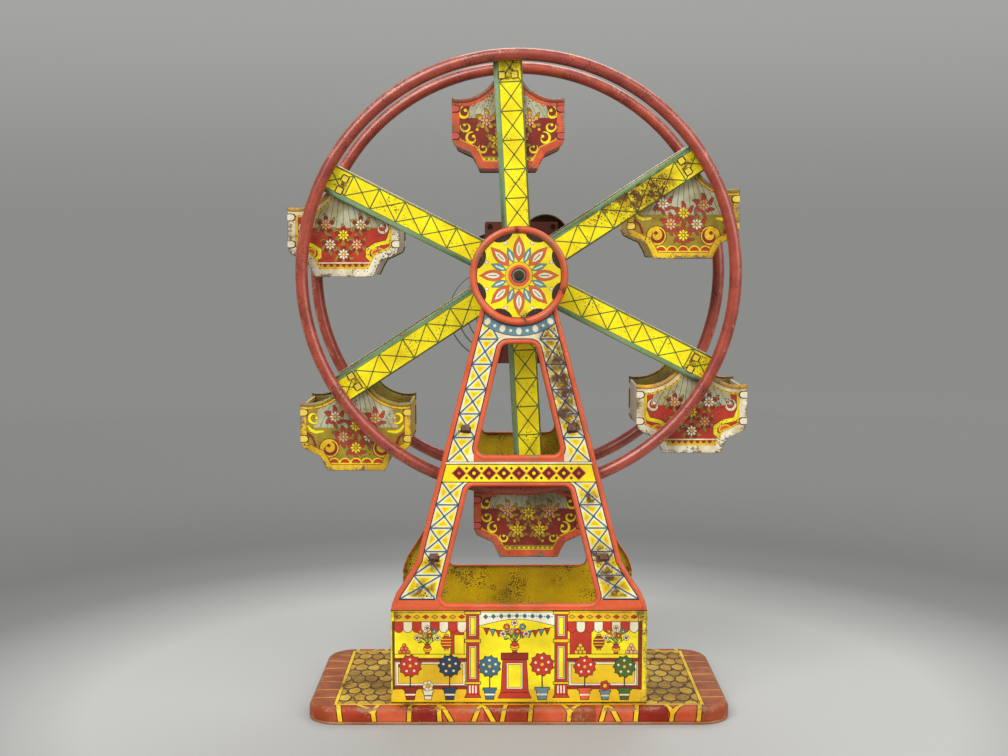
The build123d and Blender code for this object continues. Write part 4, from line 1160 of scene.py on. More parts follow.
# ---- towers
@dataclass
class Tower:
    """One stamped tower with its printed booth, girder legs, bar and round top."""

    side: Side
    face: float = 58.3
    foot: float = 10.5
    half_width: float = 80.5
    booth_top: float = 69.8
    sill_top: float = 74.0
    top_radius: float = 29.5
    flange: float = 4.0
    rim: float = 2.9
    bar_low: float = 151.3
    bar_high: float = 162.5
    tab_heights: tuple[float, float] = (184.0, 103.0)
    flare: tuple[Point, ...] = (
        (80.5, 69.8), (79.4, 74.6), (76.8, 80.9), (73.0, 86.6), (68.0, 94.4), (63.6, 102.1), (61.5, 112.0),
        (23.1, 261.2))
    upper_window: tuple[Point, Point] = ((26.8, 168.0), (10.2, 237.3))
    lower_window: tuple[Point, Point] = ((49.6, 74.0), (31.4, 148.5))
    relief: tuple[tuple[float, float], ...] = (
        (0.0, -1.1), (0.14, -0.55), (0.45, -0.05), (0.95, 0.32), (1.6, 0.42), (2.25, 0.28), (2.8, 0.06),
        (3.2, 0.0))
    stains: tuple[tuple[Point, float], ...] = (
        ((20.0, 242.0), 9.0), ((25.0, 230.0), 14.0), ((27.0, 216.0), 14.0), ((28.5, 206.0), 12.0),
        ((29.5, 194.0), 10.0), ((35.0, 186.0), 8.0), ((52.0, 104.0), 10.0), ((57.0, 92.0), 10.0),
        ((-53.0, 100.0), 7.0), ((-60.0, 82.0), 9.0), ((-38.0, 184.0), 5.0), ((62.0, 80.0), 8.0),
        ((-78.0, 66.0), 5.0), ((79.0, 30.0), 7.0), ((77.0, 66.0), 6.0), ((44.0, 140.0), 6.0))
    art: Artwork = field(init=False)

    def outer(self, height: float) -> float:
        """Half width of the tower at a height."""
        return float(np.interp(height, [p[1] for p in self.flare], [p[0] for p in self.flare]))

    def inner(self, height: float) -> float:
        """Half width of the windows, carried on past their ends."""
        (x0, z0), (x1, z1) = self.lower_window if height < 157 else self.upper_window
        return x0 + (x1 - x0) * (height - z0) / (z1 - z0)

    def outline(self) -> Path:
        """Closed outline, counter-clockwise from the left foot.

        Returns:
            Closed path.
        """
        right = [(self.half_width, self.foot), *self.flare]
        drop = atan2(self.flare[-1][1] - HUB_HEIGHT, self.flare[-1][0])
        top = arc((0.0, HUB_HEIGHT), self.top_radius, degrees(drop), 180 - degrees(drop), 40)
        return mirrored(right)[-1:] + right + top[1:-1] + mirrored(right)[:-1]

    def windows(self) -> list[Path]:
        """Closed outlines of the lower and the upper window."""
        return [rounded([(-foot, low), (foot, low), (head, high), (-head, high)], 4.5, 6)
                for (foot, low), (head, high) in (self.lower_window, self.upper_window)]

    def rims(self) -> list[Path]:
        """Open paths along the edges that are turned in."""
        path = self.outline()
        return [path[2:]] + [window + window[:1] for window in self.windows()]

    def girder(self, levels: list[float], hand: int) -> None:
        """Lattice of one leg.

        Args:
            levels: Heights of the cross bars, from below.
            hand: -1 for the left leg, 1 for the right.
        """
        inset = self.rim + 0.5
        for low, high in zip(levels, levels[1:]):
            a, b = (hand * (self.inner(low) + inset), low), (hand * (self.outer(low) - inset), low)
            c, d = (hand * (self.outer(high) - inset), high), (hand * (self.inner(high) + inset), high)
            middle = ((a[0] + b[0] + c[0] + d[0]) / 4, (low + high) / 2)
            for corner in ((a, b), (b, c), (c, d), (d, a)):
                patch = [*corner, middle]
                patch = patch if area(patch) > 0 else patch[::-1]
                self.art.fill(Ink.LEMON, rounded(offset(patch, 1.15), 0.6, 2))
                self.art.fill(Ink.YELLOW, rounded(offset(patch, 1.9), 0.4, 2))
            for run in ((a, c), (b, d), (a, b), (d, c)):
                self.art.line(Ink.SLATE, list(run), 0.95)
            self.art.fill(Ink.SLATE, disc(middle, 1.0, 8))

    def legs(self) -> None:
        """Both legs, above and below the bar."""
        for hand in (-1, 1):
            self.girder([77.2, 92.4, 107.4, 122.3, 137.0, 151.5], hand)
            self.girder([163.6, 179.2, 194.0, 209.2, 224.8, 240.4, 256.0], hand)

    def edging(self) -> None:
        """Rims of the legs and windows with the black line inside them."""
        outline, (lower, upper) = self.outline()[2:], self.windows()
        self.art.line(Ink.BLACK, offset(outline, self.rim + 0.2, False), 0.9)
        self.art.line(Ink.ORANGE, offset(outline, self.rim / 2 - 0.1, False), self.rim + 0.3)
        for window in (lower, upper):
            self.art.line(Ink.BLACK, offset(window, -self.rim - 0.2), 0.9, closed=True)
            self.art.line(Ink.ORANGE, offset(window, -self.rim / 2 + 0.1), self.rim + 0.3, closed=True)
        for low, high in ((self.bar_high + 1.7, 169.0), (147.5, self.bar_low - 0.4)):
            half = self.inner((low + high) / 2) + 1.0
            self.art.box(Ink.ORANGE, (-half, low, half, high))
        sill = self.half_width - 1.6
        self.art.box(Ink.ORANGE, (-sill, self.booth_top, sill, self.sill_top + 2.6))
        for hand in (-1, 1):
            x0, x1 = self.inner(77.0) + self.rim + 0.4, self.outer(77.0) - self.rim - 0.2
            self.art.line(Ink.BLACK, [(hand * x0, 76.9), (hand * x1, 76.9)], 0.6)

    def bar(self) -> None:
        """Yellow cross bar with a row of lozenges between black lines."""
        low, high = self.bar_low, self.bar_high
        xl, xh = self.outer(low) - self.rim - 0.4, self.outer(high) - self.rim - 0.4
        self.art.fill(Ink.CREAM, [(-xl, low), (xl, low), (xh, high + 1.6), (-xh, high + 1.6)])
        self.art.line(Ink.BLACK, [(-xh, high + 1.5), (xh, high + 1.5)], 0.3)
        self.art.fill(Ink.LEMON, [(-xl, low), (xl, low), (xh, high), (-xh, high)], Ink.BLACK, 0.55)
        middle = (low + high) / 2
        for k in range(-4, 5):
            x = 9.3 * k
            lozenge = [(x - 4.0, middle), (x, middle - 3.9), (x + 4.0, middle), (x, middle + 3.9)]
            self.art.fill(Ink.ORANGE, offset(lozenge, -0.5))
            self.art.fill(Ink.MAROON, lozenge)
            self.art.fill(Ink.LEMON if k % 2 else Ink.ORANGE, disc((x, middle), 1.1, 10))
        for k in range(-4, 4):
            for lift in (-3.0, 3.0):
                self.art.fill(Ink.MAROON, disc((9.3 * k + 4.65, middle + lift), 0.95, 8))

    def crown(self) -> None:
        """Blue band under the dial with a plain row of beads."""
        hub = (0.0, HUB_HEIGHT)
        ring = arc(hub, 37.2, 200, 340, 40) + arc(hub, 31.3, 340, 200, 40)
        self.art.fill(Ink.SKY, ring)
        self.art.line(Ink.BLACK, arc(hub, 37.2, 205, 335, 40), 0.35)
        for k in range(-5, 6):
            at = polar(34.2, 270 + 8.6 * k, hub)
            shape = disc((0, 0), 1.75, 12, 1.3) if k % 2 == 0 else disc((0, 0), 1.0, 8)
            self.art.fill(Ink.CREAM, placed(shape, at, 8.6 * k))
        self.art.fill(Ink.ORANGE, disc(hub, 31.0, 48))
        self.art.line(Ink.BLACK, disc(hub, 31.2, 48), 0.6, closed=True)

    def draw(self) -> None:
        """Lays the whole print."""
        self.art = Artwork(self.outline(), Ink.CREAM)
        self.legs()
        self.crown()
        self.edging()
        self.bar()
        Booth(self.art).draw()
        # Dark spots painted round the brace tabs, painted shade of their slots.
        for height in self.tab_heights:
            for hand in (-1, 1):
                x = hand * (self.outer(height) + self.inner(height)) / 2
                spot = rounded(rectangle(-3.2, -2.1, 3.2, 2.3), 0.7, 2)
                self.art.fill(Ink.UMBER, placed(spot, (x, height), hand * 7))
        self.art.holes = self.windows() + [disc((0.0, HUB_HEIGHT), 4.15, 24)]
        for distance, _ in self.relief[1:]:
            self.art.folds.append((offset(self.outline()[2:], distance, False), False))
            for window in self.windows():
                self.art.folds.append((offset(window, -distance), True))
        for height in (70.2, 70.9, 71.9, 72.9, 73.6):
            for hand in (-1, 1):
                self.art.folds.append(([(hand * 54.5, height), (hand * 77.0, height)], False))

    def feet(self) -> Form:
        """Tabs through the base, bent flat under its top.

        Returns:
            Points and faces of the tabs.
        """
        parts = []
        sign = self.side.value
        y = self.face - TIN / 2
        bend = [(y, 0.6), (y, -0.65), (y - 0.3, -0.8), (y - 4.6, -0.8)]
        for x in (-60.0, 0.0, 60.0):
            run = [(sign * out, self.foot + rise) for out, rise in bend]
            points, faces = ribbon(run, TIN * 0.9, x - 3.5, x + 3.5)
            parts.append((points[:, [1, 0, 2]], [face[::-1] for face in faces]))
        return joined(parts)

    def build(self) -> None:
        """Builds the stamping and its foot tabs."""
        self.draw()
        sheet = self.art.print()
        rims = self.rims()
        sheet.form(rims, list(self.relief))
        ridge = [[(hand * 56.0, 71.9), (hand * 75.5, 71.9)] for hand in (-1, 1)]
        sheet.form(ridge, [(0.0, 0.38), (0.9, 0.3), (1.7, 0.08), (2.1, 0.0)])
        sheet.stain(self.stains)
        sheet.turn_edges(rims, [(0.0, -2.2), (0.0, 0.6 - self.flange), (0.25, -self.flange)])
        node = f"{self.side.name.lower()}_tower"
        piece = sheet.piece(f"{node}_printed", upright(self.side, self.face), 0.8)
        fit(piece, "stand", "tower_litho", [node], LITHO, INSIDE_YELLOW)
        tabs = make_piece(f"{node}_feet", *self.feet())
        soften(tabs, 0.12)
        fit(tabs, "stand", "tower_litho", [node], INSIDE_YELLOW)


@dataclass
class Booth:
    """Printed arcade at the foot of a tower: posts, arch, stalls and potted plants."""

    art: Artwork
    left: float = -80.5
    right: float = 80.5
    low: float = 10.5
    high: float = 69.8
    post_left: float = -29.0
    post_right: float = 26.5
    post_half: float = 4.0
    floor: float = 19.3
    counter: float = 39.4

    def post(self, x: float) -> None:
        """Red post with lined panels, yellow caps and a fluted foot.

        Args:
            x: Its middle.
        """
        half = self.post_half
        self.art.box(Ink.RED, (x - half, 15.2, x + half, self.high), Ink.BLACK)
        for low, high in ((26.0, 47.2), (53.6, 66.4)):
            self.art.box(Ink.CREAM, (x - 2.3, low, x + 2.3, high), Ink.MAROON)
            self.art.box(Ink.LEMON, (x - 1.5, low + 0.8, x + 1.5, high - 0.8), Ink.MAROON)
        for low, high in ((22.6, 24.2), (49.4, 51.6), (67.4, 69.4)):
            self.art.box(Ink.YELLOW, (x - half - 1.0, low, x + half + 1.0, high), Ink.BLACK)
        for shift in (-1.9, 0.0, 1.9):
            self.art.box(Ink.CREAM, (x + shift - 0.45, 16.8, x + shift + 0.45, 21.8))
        plinth = [(x - half - 1.2, 14.0), (x + half + 1.2, 14.0), (x + half, 16.4), (x - half, 16.4)]
        self.art.fill(Ink.RED, plinth, Ink.BLACK)

    def stall(self, left: float, right: float) -> None:
        """Stall between two uprights: valance, back, counter and lined front.

        Args:
            left: Its left side.
            right: Its right side.
        """
        self.art.box(Ink.YELLOW, (left, 62.8, right, 68.9), Ink.BLACK, 0.35)
        step = (right - left) / 8
        for k in range(8):
            middle = left + step * (k + 0.5)
            bead = [(middle - 2.0, 65.9), (middle, 64.6), (middle + 2.0, 65.9), (middle, 67.2)]
            self.art.fill(Ink.RED if k % 2 else Ink.GOLD, bead, Ink.MAROON, 0.36)
        for k in range(8):
            x0 = left + step * k
            scallop = [(x0, 62.8), (x0, 58.6), *arc((x0 + step / 2, 58.6), step / 2, 180, 360, 8)[1:-1],
                       (x0 + step, 58.6), (x0 + step, 62.8)]
            self.art.fill(Ink.CREAM if k % 2 else Ink.RED, scallop, Ink.MAROON)
        self.art.box(Ink.LEMON, (left, self.counter, right, self.counter + 2.6), Ink.MAROON)
        self.art.box(Ink.CRIMSON, (left, 37.2, right, self.counter))
        self.art.box(Ink.CRIMSON, (left, self.floor, right, 21.6))
        self.art.box(Ink.CREAM, (left + 0.8, 21.8, right - 0.8, 36.9), Ink.BLACK, 0.42)
        self.art.box(Ink.YELLOW, (left + 2.3, 23.2, right - 2.3, 35.5), Ink.MAROON, 0.3)

    def pot(self, x: float, z: float, size: float, body: Ink, band: Ink) -> None:
        """Banded flower pot that stands at a place.

        Args:
            x: Its middle.
            z: Height of its foot.
            size: Its scale.
            body: Ink of the pot.
            band: Ink of its band.
        """
        shape = [(-1.7, 0), (1.7, 0), (2.5, 4.2), (3.0, 4.2), (3.0, 5.2), (-3.0, 5.2), (-3.0, 4.2), (-2.5, 4.2)]
        self.art.fill(body, placed(shape, (x, z), 0, size), Ink.BLACK, 0.42)
        self.art.line(band, placed([(-2.1, 2.2), (2.1, 2.2)], (x, z), 0, size), 0.7 * size)

    def flower(self, at: Point, size: float, petal: Ink, heart: Ink) -> None:
        """Round flower with six petals.

        Args:
            at: Its middle.
            size: Its radius.
            petal: Ink of the petals.
            heart: Ink of the middle.
        """
        for k in range(6):
            self.art.fill(petal, disc(polar(size * 0.62, 60 * k + 15, at), size * 0.42, 8), Ink.BLACK, 0.26)
        self.art.fill(heart, disc(at, size * 0.42, 8), Ink.BLACK, 0.26)

    def bush(self, x: float, z: float, size: float, leaf: Ink, pot: Ink) -> None:
        """Clipped bush on a stem in a pot.

        Args:
            x: Its middle.
            z: Height of its foot.
            size: Its scale.
            leaf: Ink of the bush.
            pot: Ink of the pot.
        """
        self.pot(x, z, size, pot, Ink.CREAM)
        self.art.line(Ink.UMBER, [(x, z + 5.2 * size), (x, z + 12.0 * size)], 0.8)
        ball = (x, z + 14.6 * size)
        self.art.fill(leaf, scalloped(ball, 5.0 * size, 11, 0.8 * size), Ink.BLACK, 0.42)
        for k in range(5):
            self.art.fill(Ink.CREAM, disc(polar(2.7 * size, 72 * k + 20, ball), 0.55 * size, 6))
        self.art.fill(Ink.YELLOW, disc(ball, 0.7 * size, 6))

    def bouquet(self, x: float, z: float, size: float) -> None:
        """Vase with a fan of flowers.

        Args:
            x: Its middle.
            z: Height of its foot.
            size: Its scale.
        """
        neck = (x, z + 6.4 * size)
        heads = [(-52, 9.4), (-26, 11.6), (0, 13.0), (26, 11.6), (52, 9.4), (-14, 7.6), (14, 7.6)]
        inks = [Ink.CREAM, Ink.ORANGE, Ink.CREAM, Ink.SKY, Ink.CREAM, Ink.PINK, Ink.RED]
        leaf = disc((2.2, 0), 1.7, 8, 0.4)
        for (lean, reach), ink in zip(heads, inks):
            head = polar(reach * size, 90 - lean, neck)
            self.art.line(Ink.LEAF, [neck, head], 0.5)
            along = polar(reach * size * 0.45, 90 - lean, neck)
            self.art.fill(Ink.LEAF, placed(leaf, along, 130 - lean, size))
            self.flower(head, 2.2 * size, ink, Ink.YELLOW if ink is not Ink.CREAM else Ink.RED)
        shape = [(1.6, 0.0), (1.1, 0.9), (2.9, 3.6), (2.5, 5.6), (1.3, 6.4), (1.9, 7.2)]
        self.art.fill(Ink.RED, placed(shape + mirrored(shape), (x, z), 0, size), Ink.BLACK, 0.42)
        self.art.line(Ink.LEMON, placed([(-2.6, 4.0), (0, 3.2), (2.6, 4.0)], (x, z), 0, size), 0.55)
        self.art.line(Ink.LEMON, placed([(-2.3, 2.7), (0, 1.9), (2.3, 2.7)], (x, z), 0, size), 0.45)

    def fruit(self, x: float, z: float, ink: Ink) -> None:
        """Pyramid of round fruit on a counter.

        Args:
            x: Its middle.
            z: Height of its foot.
            ink: Ink of the fruit.
        """
        for row in range(3):
            for k in range(3 - row):
                at = (x + 2.5 * (k - (2 - row) / 2), z + 1.3 + 2.15 * row)
                self.art.fill(ink, disc(at, 1.3, 10), Ink.MAROON, 0.36)
                self.art.fill(Ink.LEMON, disc((at[0] - 0.4, at[1] + 0.4), 0.3, 5))

    def lantern(self, x: float, z: float, ink: Ink) -> None:
        """Ribbed paper lantern on a cord.

        Args:
            x: Its middle.
            z: Height of its middle.
            ink: Ink of the paper.
        """
        self.art.line(Ink.BLACK, [(x, z + 8.0), (x, z + 4.6)], 0.3)
        self.art.fill(ink, disc((x, z), 3.5, 16, 1.2), Ink.BLACK, 0.28)
        for share in (-0.45, 0.0, 0.45):
            half = 3.4 * (1 - share ** 2) ** 0.5
            self.art.line(Ink.LEMON, [(x - half, z + 4.2 * share), (x + half, z + 4.2 * share)], 0.4)
        for high in (4.0, -5.0):
            self.art.box(Ink.YELLOW, (x - 1.3, z + high, x + 1.3, z + high + 1.0), Ink.BLACK, 0.36)

    def middle(self) -> None:
        """Arch, pennants and the stand with a bouquet between the posts."""
        left, right = self.post_left + self.post_half, self.post_right - self.post_half
        middle, half = (left + right) / 2, (right - left) / 2
        sag = [(middle + half * t, 60.2 + 4.2 * cos(pi / 2 * t) ** 1.2) for t in (1 - k / 8 for k in range(17))]
        for k in range(1, 12):
            t = -1 + k / 6
            x, z = middle + half * 0.96 * t, 55.4 + 3.4 * abs(t) ** 1.6
            pennant = [(x - 1.9, z + 0.8), (x + 1.9, z + 0.8), (x, z - 3.6)]
            self.art.fill(Ink.RED if k % 2 else Ink.SKY, pennant, Ink.BLACK, 0.36)
        string = [(middle + half * t, 56.2 + 3.4 * abs(t) ** 1.6) for t in (-1 + k / 6 for k in range(13))]
        self.art.line(Ink.BLACK, string, 0.3)
        self.art.fill(Ink.CREAM, [(left, 68.9), *sag[::-1], (right, 68.9)], Ink.BLACK, 0.35)
        for k in range(-4, 5):
            x = middle + 4.9 * k
            z = 65.6 + 0.9 * cos(k * 0.3)
            self.art.fill(Ink.SLATE, placed([(-1.7, 0), (0, -1.7), (1.7, 0), (0, 1.7)], (x, z)))
            self.art.fill(Ink.SLATE, disc((x + 2.45, z), 0.5, 6))
        self.bouquet(-2.7, 43.0, 0.98)
        self.art.box(Ink.CRIMSON, (-11.2, 38.4, 5.8, 42.8), Ink.BLACK)
        self.art.fill(Ink.RED, [(-11.4, 17.0), (6.0, 17.0), (4.8, 38.4), (-10.2, 38.4)], Ink.BLACK)
        self.art.box(Ink.CREAM, (-7.8, 19.6, 2.4, 36.4), Ink.MAROON)
        self.art.box(Ink.LEMON, (-6.8, 20.6, 1.4, 35.4), Ink.MAROON, 0.3)
        self.art.fill(Ink.RED, [(-13.2, 13.6), (7.8, 13.6), (6.2, 17.4), (-11.6, 17.4)], Ink.BLACK)

    def draw(self) -> None:
        """Lays the whole arcade on the tower's print."""
        self.art.box(Ink.LEMON, (self.left, self.low, self.right, self.high))
        self.art.box(Ink.YELLOW, (self.left, self.low, self.right, self.floor))
        stalls = ((-78.2, self.post_left - self.post_half), (self.post_right + self.post_half, 75.0))
        self.art.box(Ink.RED, (-43.0, 42.0, -34.4, 58.0), Ink.MAROON, 0.3)
        self.art.box(Ink.LEMON, (-40.6, 42.0, -34.4, 54.4), Ink.MAROON)
        self.art.box(Ink.RED, (32.0, 42.0, 45.5, 60.0), Ink.MAROON, 0.3)
        for left, right in stalls:
            self.stall(left, right)
        self.middle()
        for x in (self.post_left, self.post_right):
            self.post(x)
        for left, right in ((-79.4, -78.2), (75.0, 77.2)):
            self.art.box(Ink.CRIMSON, (left, self.floor, right, 62.8), Ink.BLACK, 0.36)
        self.fruit(-72.0, 42.0, Ink.ORANGE)
        self.bouquet(-57.5, 42.0, 0.86)
        self.lantern(-45.6, 49.6, Ink.RED)
        self.lantern(50.2, 49.6, Ink.CRIMSON)
        self.bouquet(61.0, 42.0, 0.86)
        self.fruit(38.6, 42.0, Ink.YELLOW)
        self.fruit(70.6, 42.0, Ink.PINK)
        self.bush(-68.4, 12.6, 1.5, Ink.RED, Ink.CRIMSON)
        self.pot(-57.2, 12.6, 1.2, Ink.CREAM, Ink.SLATE)
        self.flower((-57.2, 21.6), 3.4, Ink.CREAM, Ink.GOLD)
        self.bush(-43.6, 12.6, 1.5, Ink.NAVY, Ink.NAVY)
        self.bush(-18.4, 12.8, 1.46, Ink.SLATE, Ink.SLATE)
        self.bush(14.6, 12.6, 1.56, Ink.RED, Ink.SKY)
        self.bush(41.4, 12.6, 1.46, Ink.RED, Ink.ORANGE)
        self.pot(54.2, 12.6, 1.2, Ink.SKY, Ink.CREAM)
        self.flower((54.2, 21.6), 3.4, Ink.RED, Ink.YELLOW)
        self.bush(66.4, 12.6, 1.46, Ink.LEAF, Ink.LEAF)
        self.art.line(Ink.BLACK, [(self.left, self.high), (self.right, self.high)], 0.6)
        self.art.line(Ink.BLACK, [(self.left, self.low + 0.3), (self.right, self.low + 0.3)], 0.7)


# ---- dial
@dataclass
class Dial:
    """Round plate on the front tower with a rolled rim and a printed rosette."""

    face: float = 60.2
    rim_at: float = 28.4
    tube: float = 1.9
    hole: float = 4.4

    def artwork(self) -> Artwork:
        """Rosette of eight leaves on yellow with dark scallops at the rim.

        Returns:
            The print on the flat disc.
        """
        centre = (0.0, 0.0)
        art = Artwork(disc(centre, self.rim_at + self.tube, 96), Ink.LEMON)
        for k in range(8):
            at = polar(27.0, 45 * k + 22.5)
            art.fill(Ink.UMBER, placed(disc((0, 0), 4.4, 16, 1.5), at, 45 * k + 22.5), Ink.BLACK, 0.25)
            tip = polar(21.4, 45 * k + 22.5)
            art.fill(Ink.CREAM, disc(tip, 1.15, 10), Ink.MOSS, 0.25)
        leaf = [(8.4, 0.0), (11.5, 2.6), (15.5, 3.5), (19.5, 2.7), (24.4, 0.0)]
        leaf += [(x, -z) for x, z in reversed(leaf[1:-1])]
        small = [(8.2, 0.0), (11.0, 1.6), (14.5, 2.0), (18.6, 0.0)]
        small += [(x, -z) for x, z in reversed(small[1:-1])]
        for k in range(8):
            art.fill(Ink.SKY, placed(small, centre, 45 * k + 22.5), Ink.MOSS, 0.3)
            art.line(Ink.CREAM, placed([(10.2, 0), (15.6, 0)], centre, 45 * k + 22.5), 0.9)
        for k in range(8):
            art.fill(Ink.ORANGE, placed(leaf, centre, 45 * k), Ink.MOSS, 0.3)
            inner = [(11.4 + (x - 8.4) * 0.62, z * 0.55) for x, z in leaf]
            art.fill(Ink.CREAM, placed(inner, centre, 45 * k), Ink.MOSS, 0.25)
            art.line(Ink.SLATE, placed([(13.2, 0), (18.6, 0)], centre, 45 * k), 0.5)
        art.line(Ink.MOSS, disc(centre, 8.4, 32), 0.4, closed=True)
        art.line(Ink.YELLOW, disc(centre, 7.4, 32), 1.7, closed=True)
        art.line(Ink.ORANGE, disc(centre, 5.5, 32), 2.3, closed=True)
        art.line(Ink.BLACK, disc(centre, 25.9, 72), 0.45, closed=True)
        art.line(Ink.ORANGE, disc(centre, 28.3, 96), 4.4, closed=True)
        art.holes = [disc(centre, self.hole, 32)]
        for radius in (4.7, 5.3, 6.4, 7.4, 25.2, 26.2, 26.55, 26.9, 27.4, 27.9, 28.4, 28.9, 29.4, 29.8, 30.1):
            art.folds.append((disc(centre, radius, 72), True))
        return art

    def height(self, radius: np.ndarray) -> np.ndarray:
        """Height of the plate over its field at a distance from its middle.

        Args:
            radius: Distance of each point.

        Returns:
            Height of each point.
        """
        across = np.clip((radius - self.rim_at) / self.tube, -1, 1)
        roll = self.tube * np.sqrt(1 - across ** 2)
        flat = np.interp(radius, [0, 4.4, 4.7, 5.6, 7.0, 9.0], [-0.5, -0.45, 0.1, 0.35, 0.1, 0.0])
        return np.where(radius > self.rim_at - self.tube, roll, flat)

    def build(self) -> None:
        """Builds the plate, its rolled back and its two fixing tabs."""
        sheet = self.artwork().print()
        radius = np.linalg.norm(sheet.points, axis=1)
        sheet.heights = self.height(radius)
        sheet.edges = np.exp(-np.abs(radius - self.rim_at) / 1.6)
        rim = disc((0.0, 0.0), self.rim_at + self.tube, 96)
        roll = [(self.tube * (1 - cos(radians(t))), -self.tube * sin(radians(t))) for t in range(30, 181, 30)]
        sheet.turn_edges([rim + rim[:1]], roll)
        sheet.stain([((4.0, -26.0), 4.0), ((27.0, -9.0), 3.0), ((-1.0, 28.0), 3.0)])
        place = upright(Side.FRONT, self.face, (0.0, HUB_HEIGHT))
        piece = sheet.piece("dial_printed", place, smooth=55.0, thickness=0.4)
        fit(piece, "stand", "dial_litho", ["hub_face_plate"], LITHO, INSIDE_TIN)
        parts = []
        for x in (-7.0, 7.0):
            spot = (x, HUB_HEIGHT - 25.6)
            parts.append(plate(disc(spot, 1.2, 16), -59.8, -57.6))
            parts.append(plate(disc(spot, 1.9, 16), -57.75, -57.35))
        tabs = make_piece("dial_tabs", *joined(parts))
        soften(tabs, 0.15)
        fit(tabs, "stand", "dial_litho", ["hub_face_plate"], STEEL)


# ---- wheel
@dataclass
class Ring:
    """One rolled tin tube of the wheel with its seam towards the hub."""

    side: Side
    radius: float = 136.1
    tube: float = 3.9
    plane: float = 38.2
    seam: float = 0.5

    def section(self) -> list[tuple[float, float, float]]:
        """Radial and axial place of each point of the tube, and how much it is rubbed, a mask that also paints
        a lighter sheen on its outer front.

        Returns:
            One row for each point, from lip to lip.
        """
        gap = degrees(self.seam / 2 / self.tube)
        lip = self.tube - 1.4
        rows = [(-lip, -self.seam / 2 * 1.3, 0.0), (-self.tube + 0.35, -self.seam / 2, 0.0)]
        for k in range(29):
            turn = 180 + gap * 1.6 + (360 - 3.2 * gap) * k / 28
            x, y = polar(self.tube, turn)
            # Lightest on the outer front of the tube all round the ring: rubbed paint, and a painted sheen
            # along the crown.
            rows.append((x, y, max(0.0, cos(radians(turn - 325))) ** 3))
        rows += [(-self.tube + 0.35, self.seam / 2, 0.0), (-lip, self.seam / 2 * 1.3, 0.0)]
        return rows

    def build(self) -> None:
        """Sweeps the section round the hub."""
        rows = self.section()
        steps, count = 180, len(rows)
        points, worn, faces = [], [], []
        for k in range(steps):
            c, s = cos(2 * pi * k / steps), sin(2 * pi * k / steps)
            for out, along, rubbed in rows:
                reach = self.radius + out
                points.append((reach * c, self.side.value * self.plane + along, HUB_HEIGHT + reach * s))
                # The rub mask carries the painted sheen on the crown as well as wear.
                worn.append((0.75 * rubbed, 0.0))
        for k in range(steps):
            a, b = k * count, (k + 1) % steps * count
            faces += [[a + j, a + j + 1, b + j + 1, b + j] for j in range(count - 1)]
        name = f"ring_{self.side.name.lower()}"
        piece = make_piece(f"{name}_tube", np.array(points), faces, None, np.array(worn), smooth=60.0)
        fit(piece, "wheel", "ring_paint", [name], RING_RED)


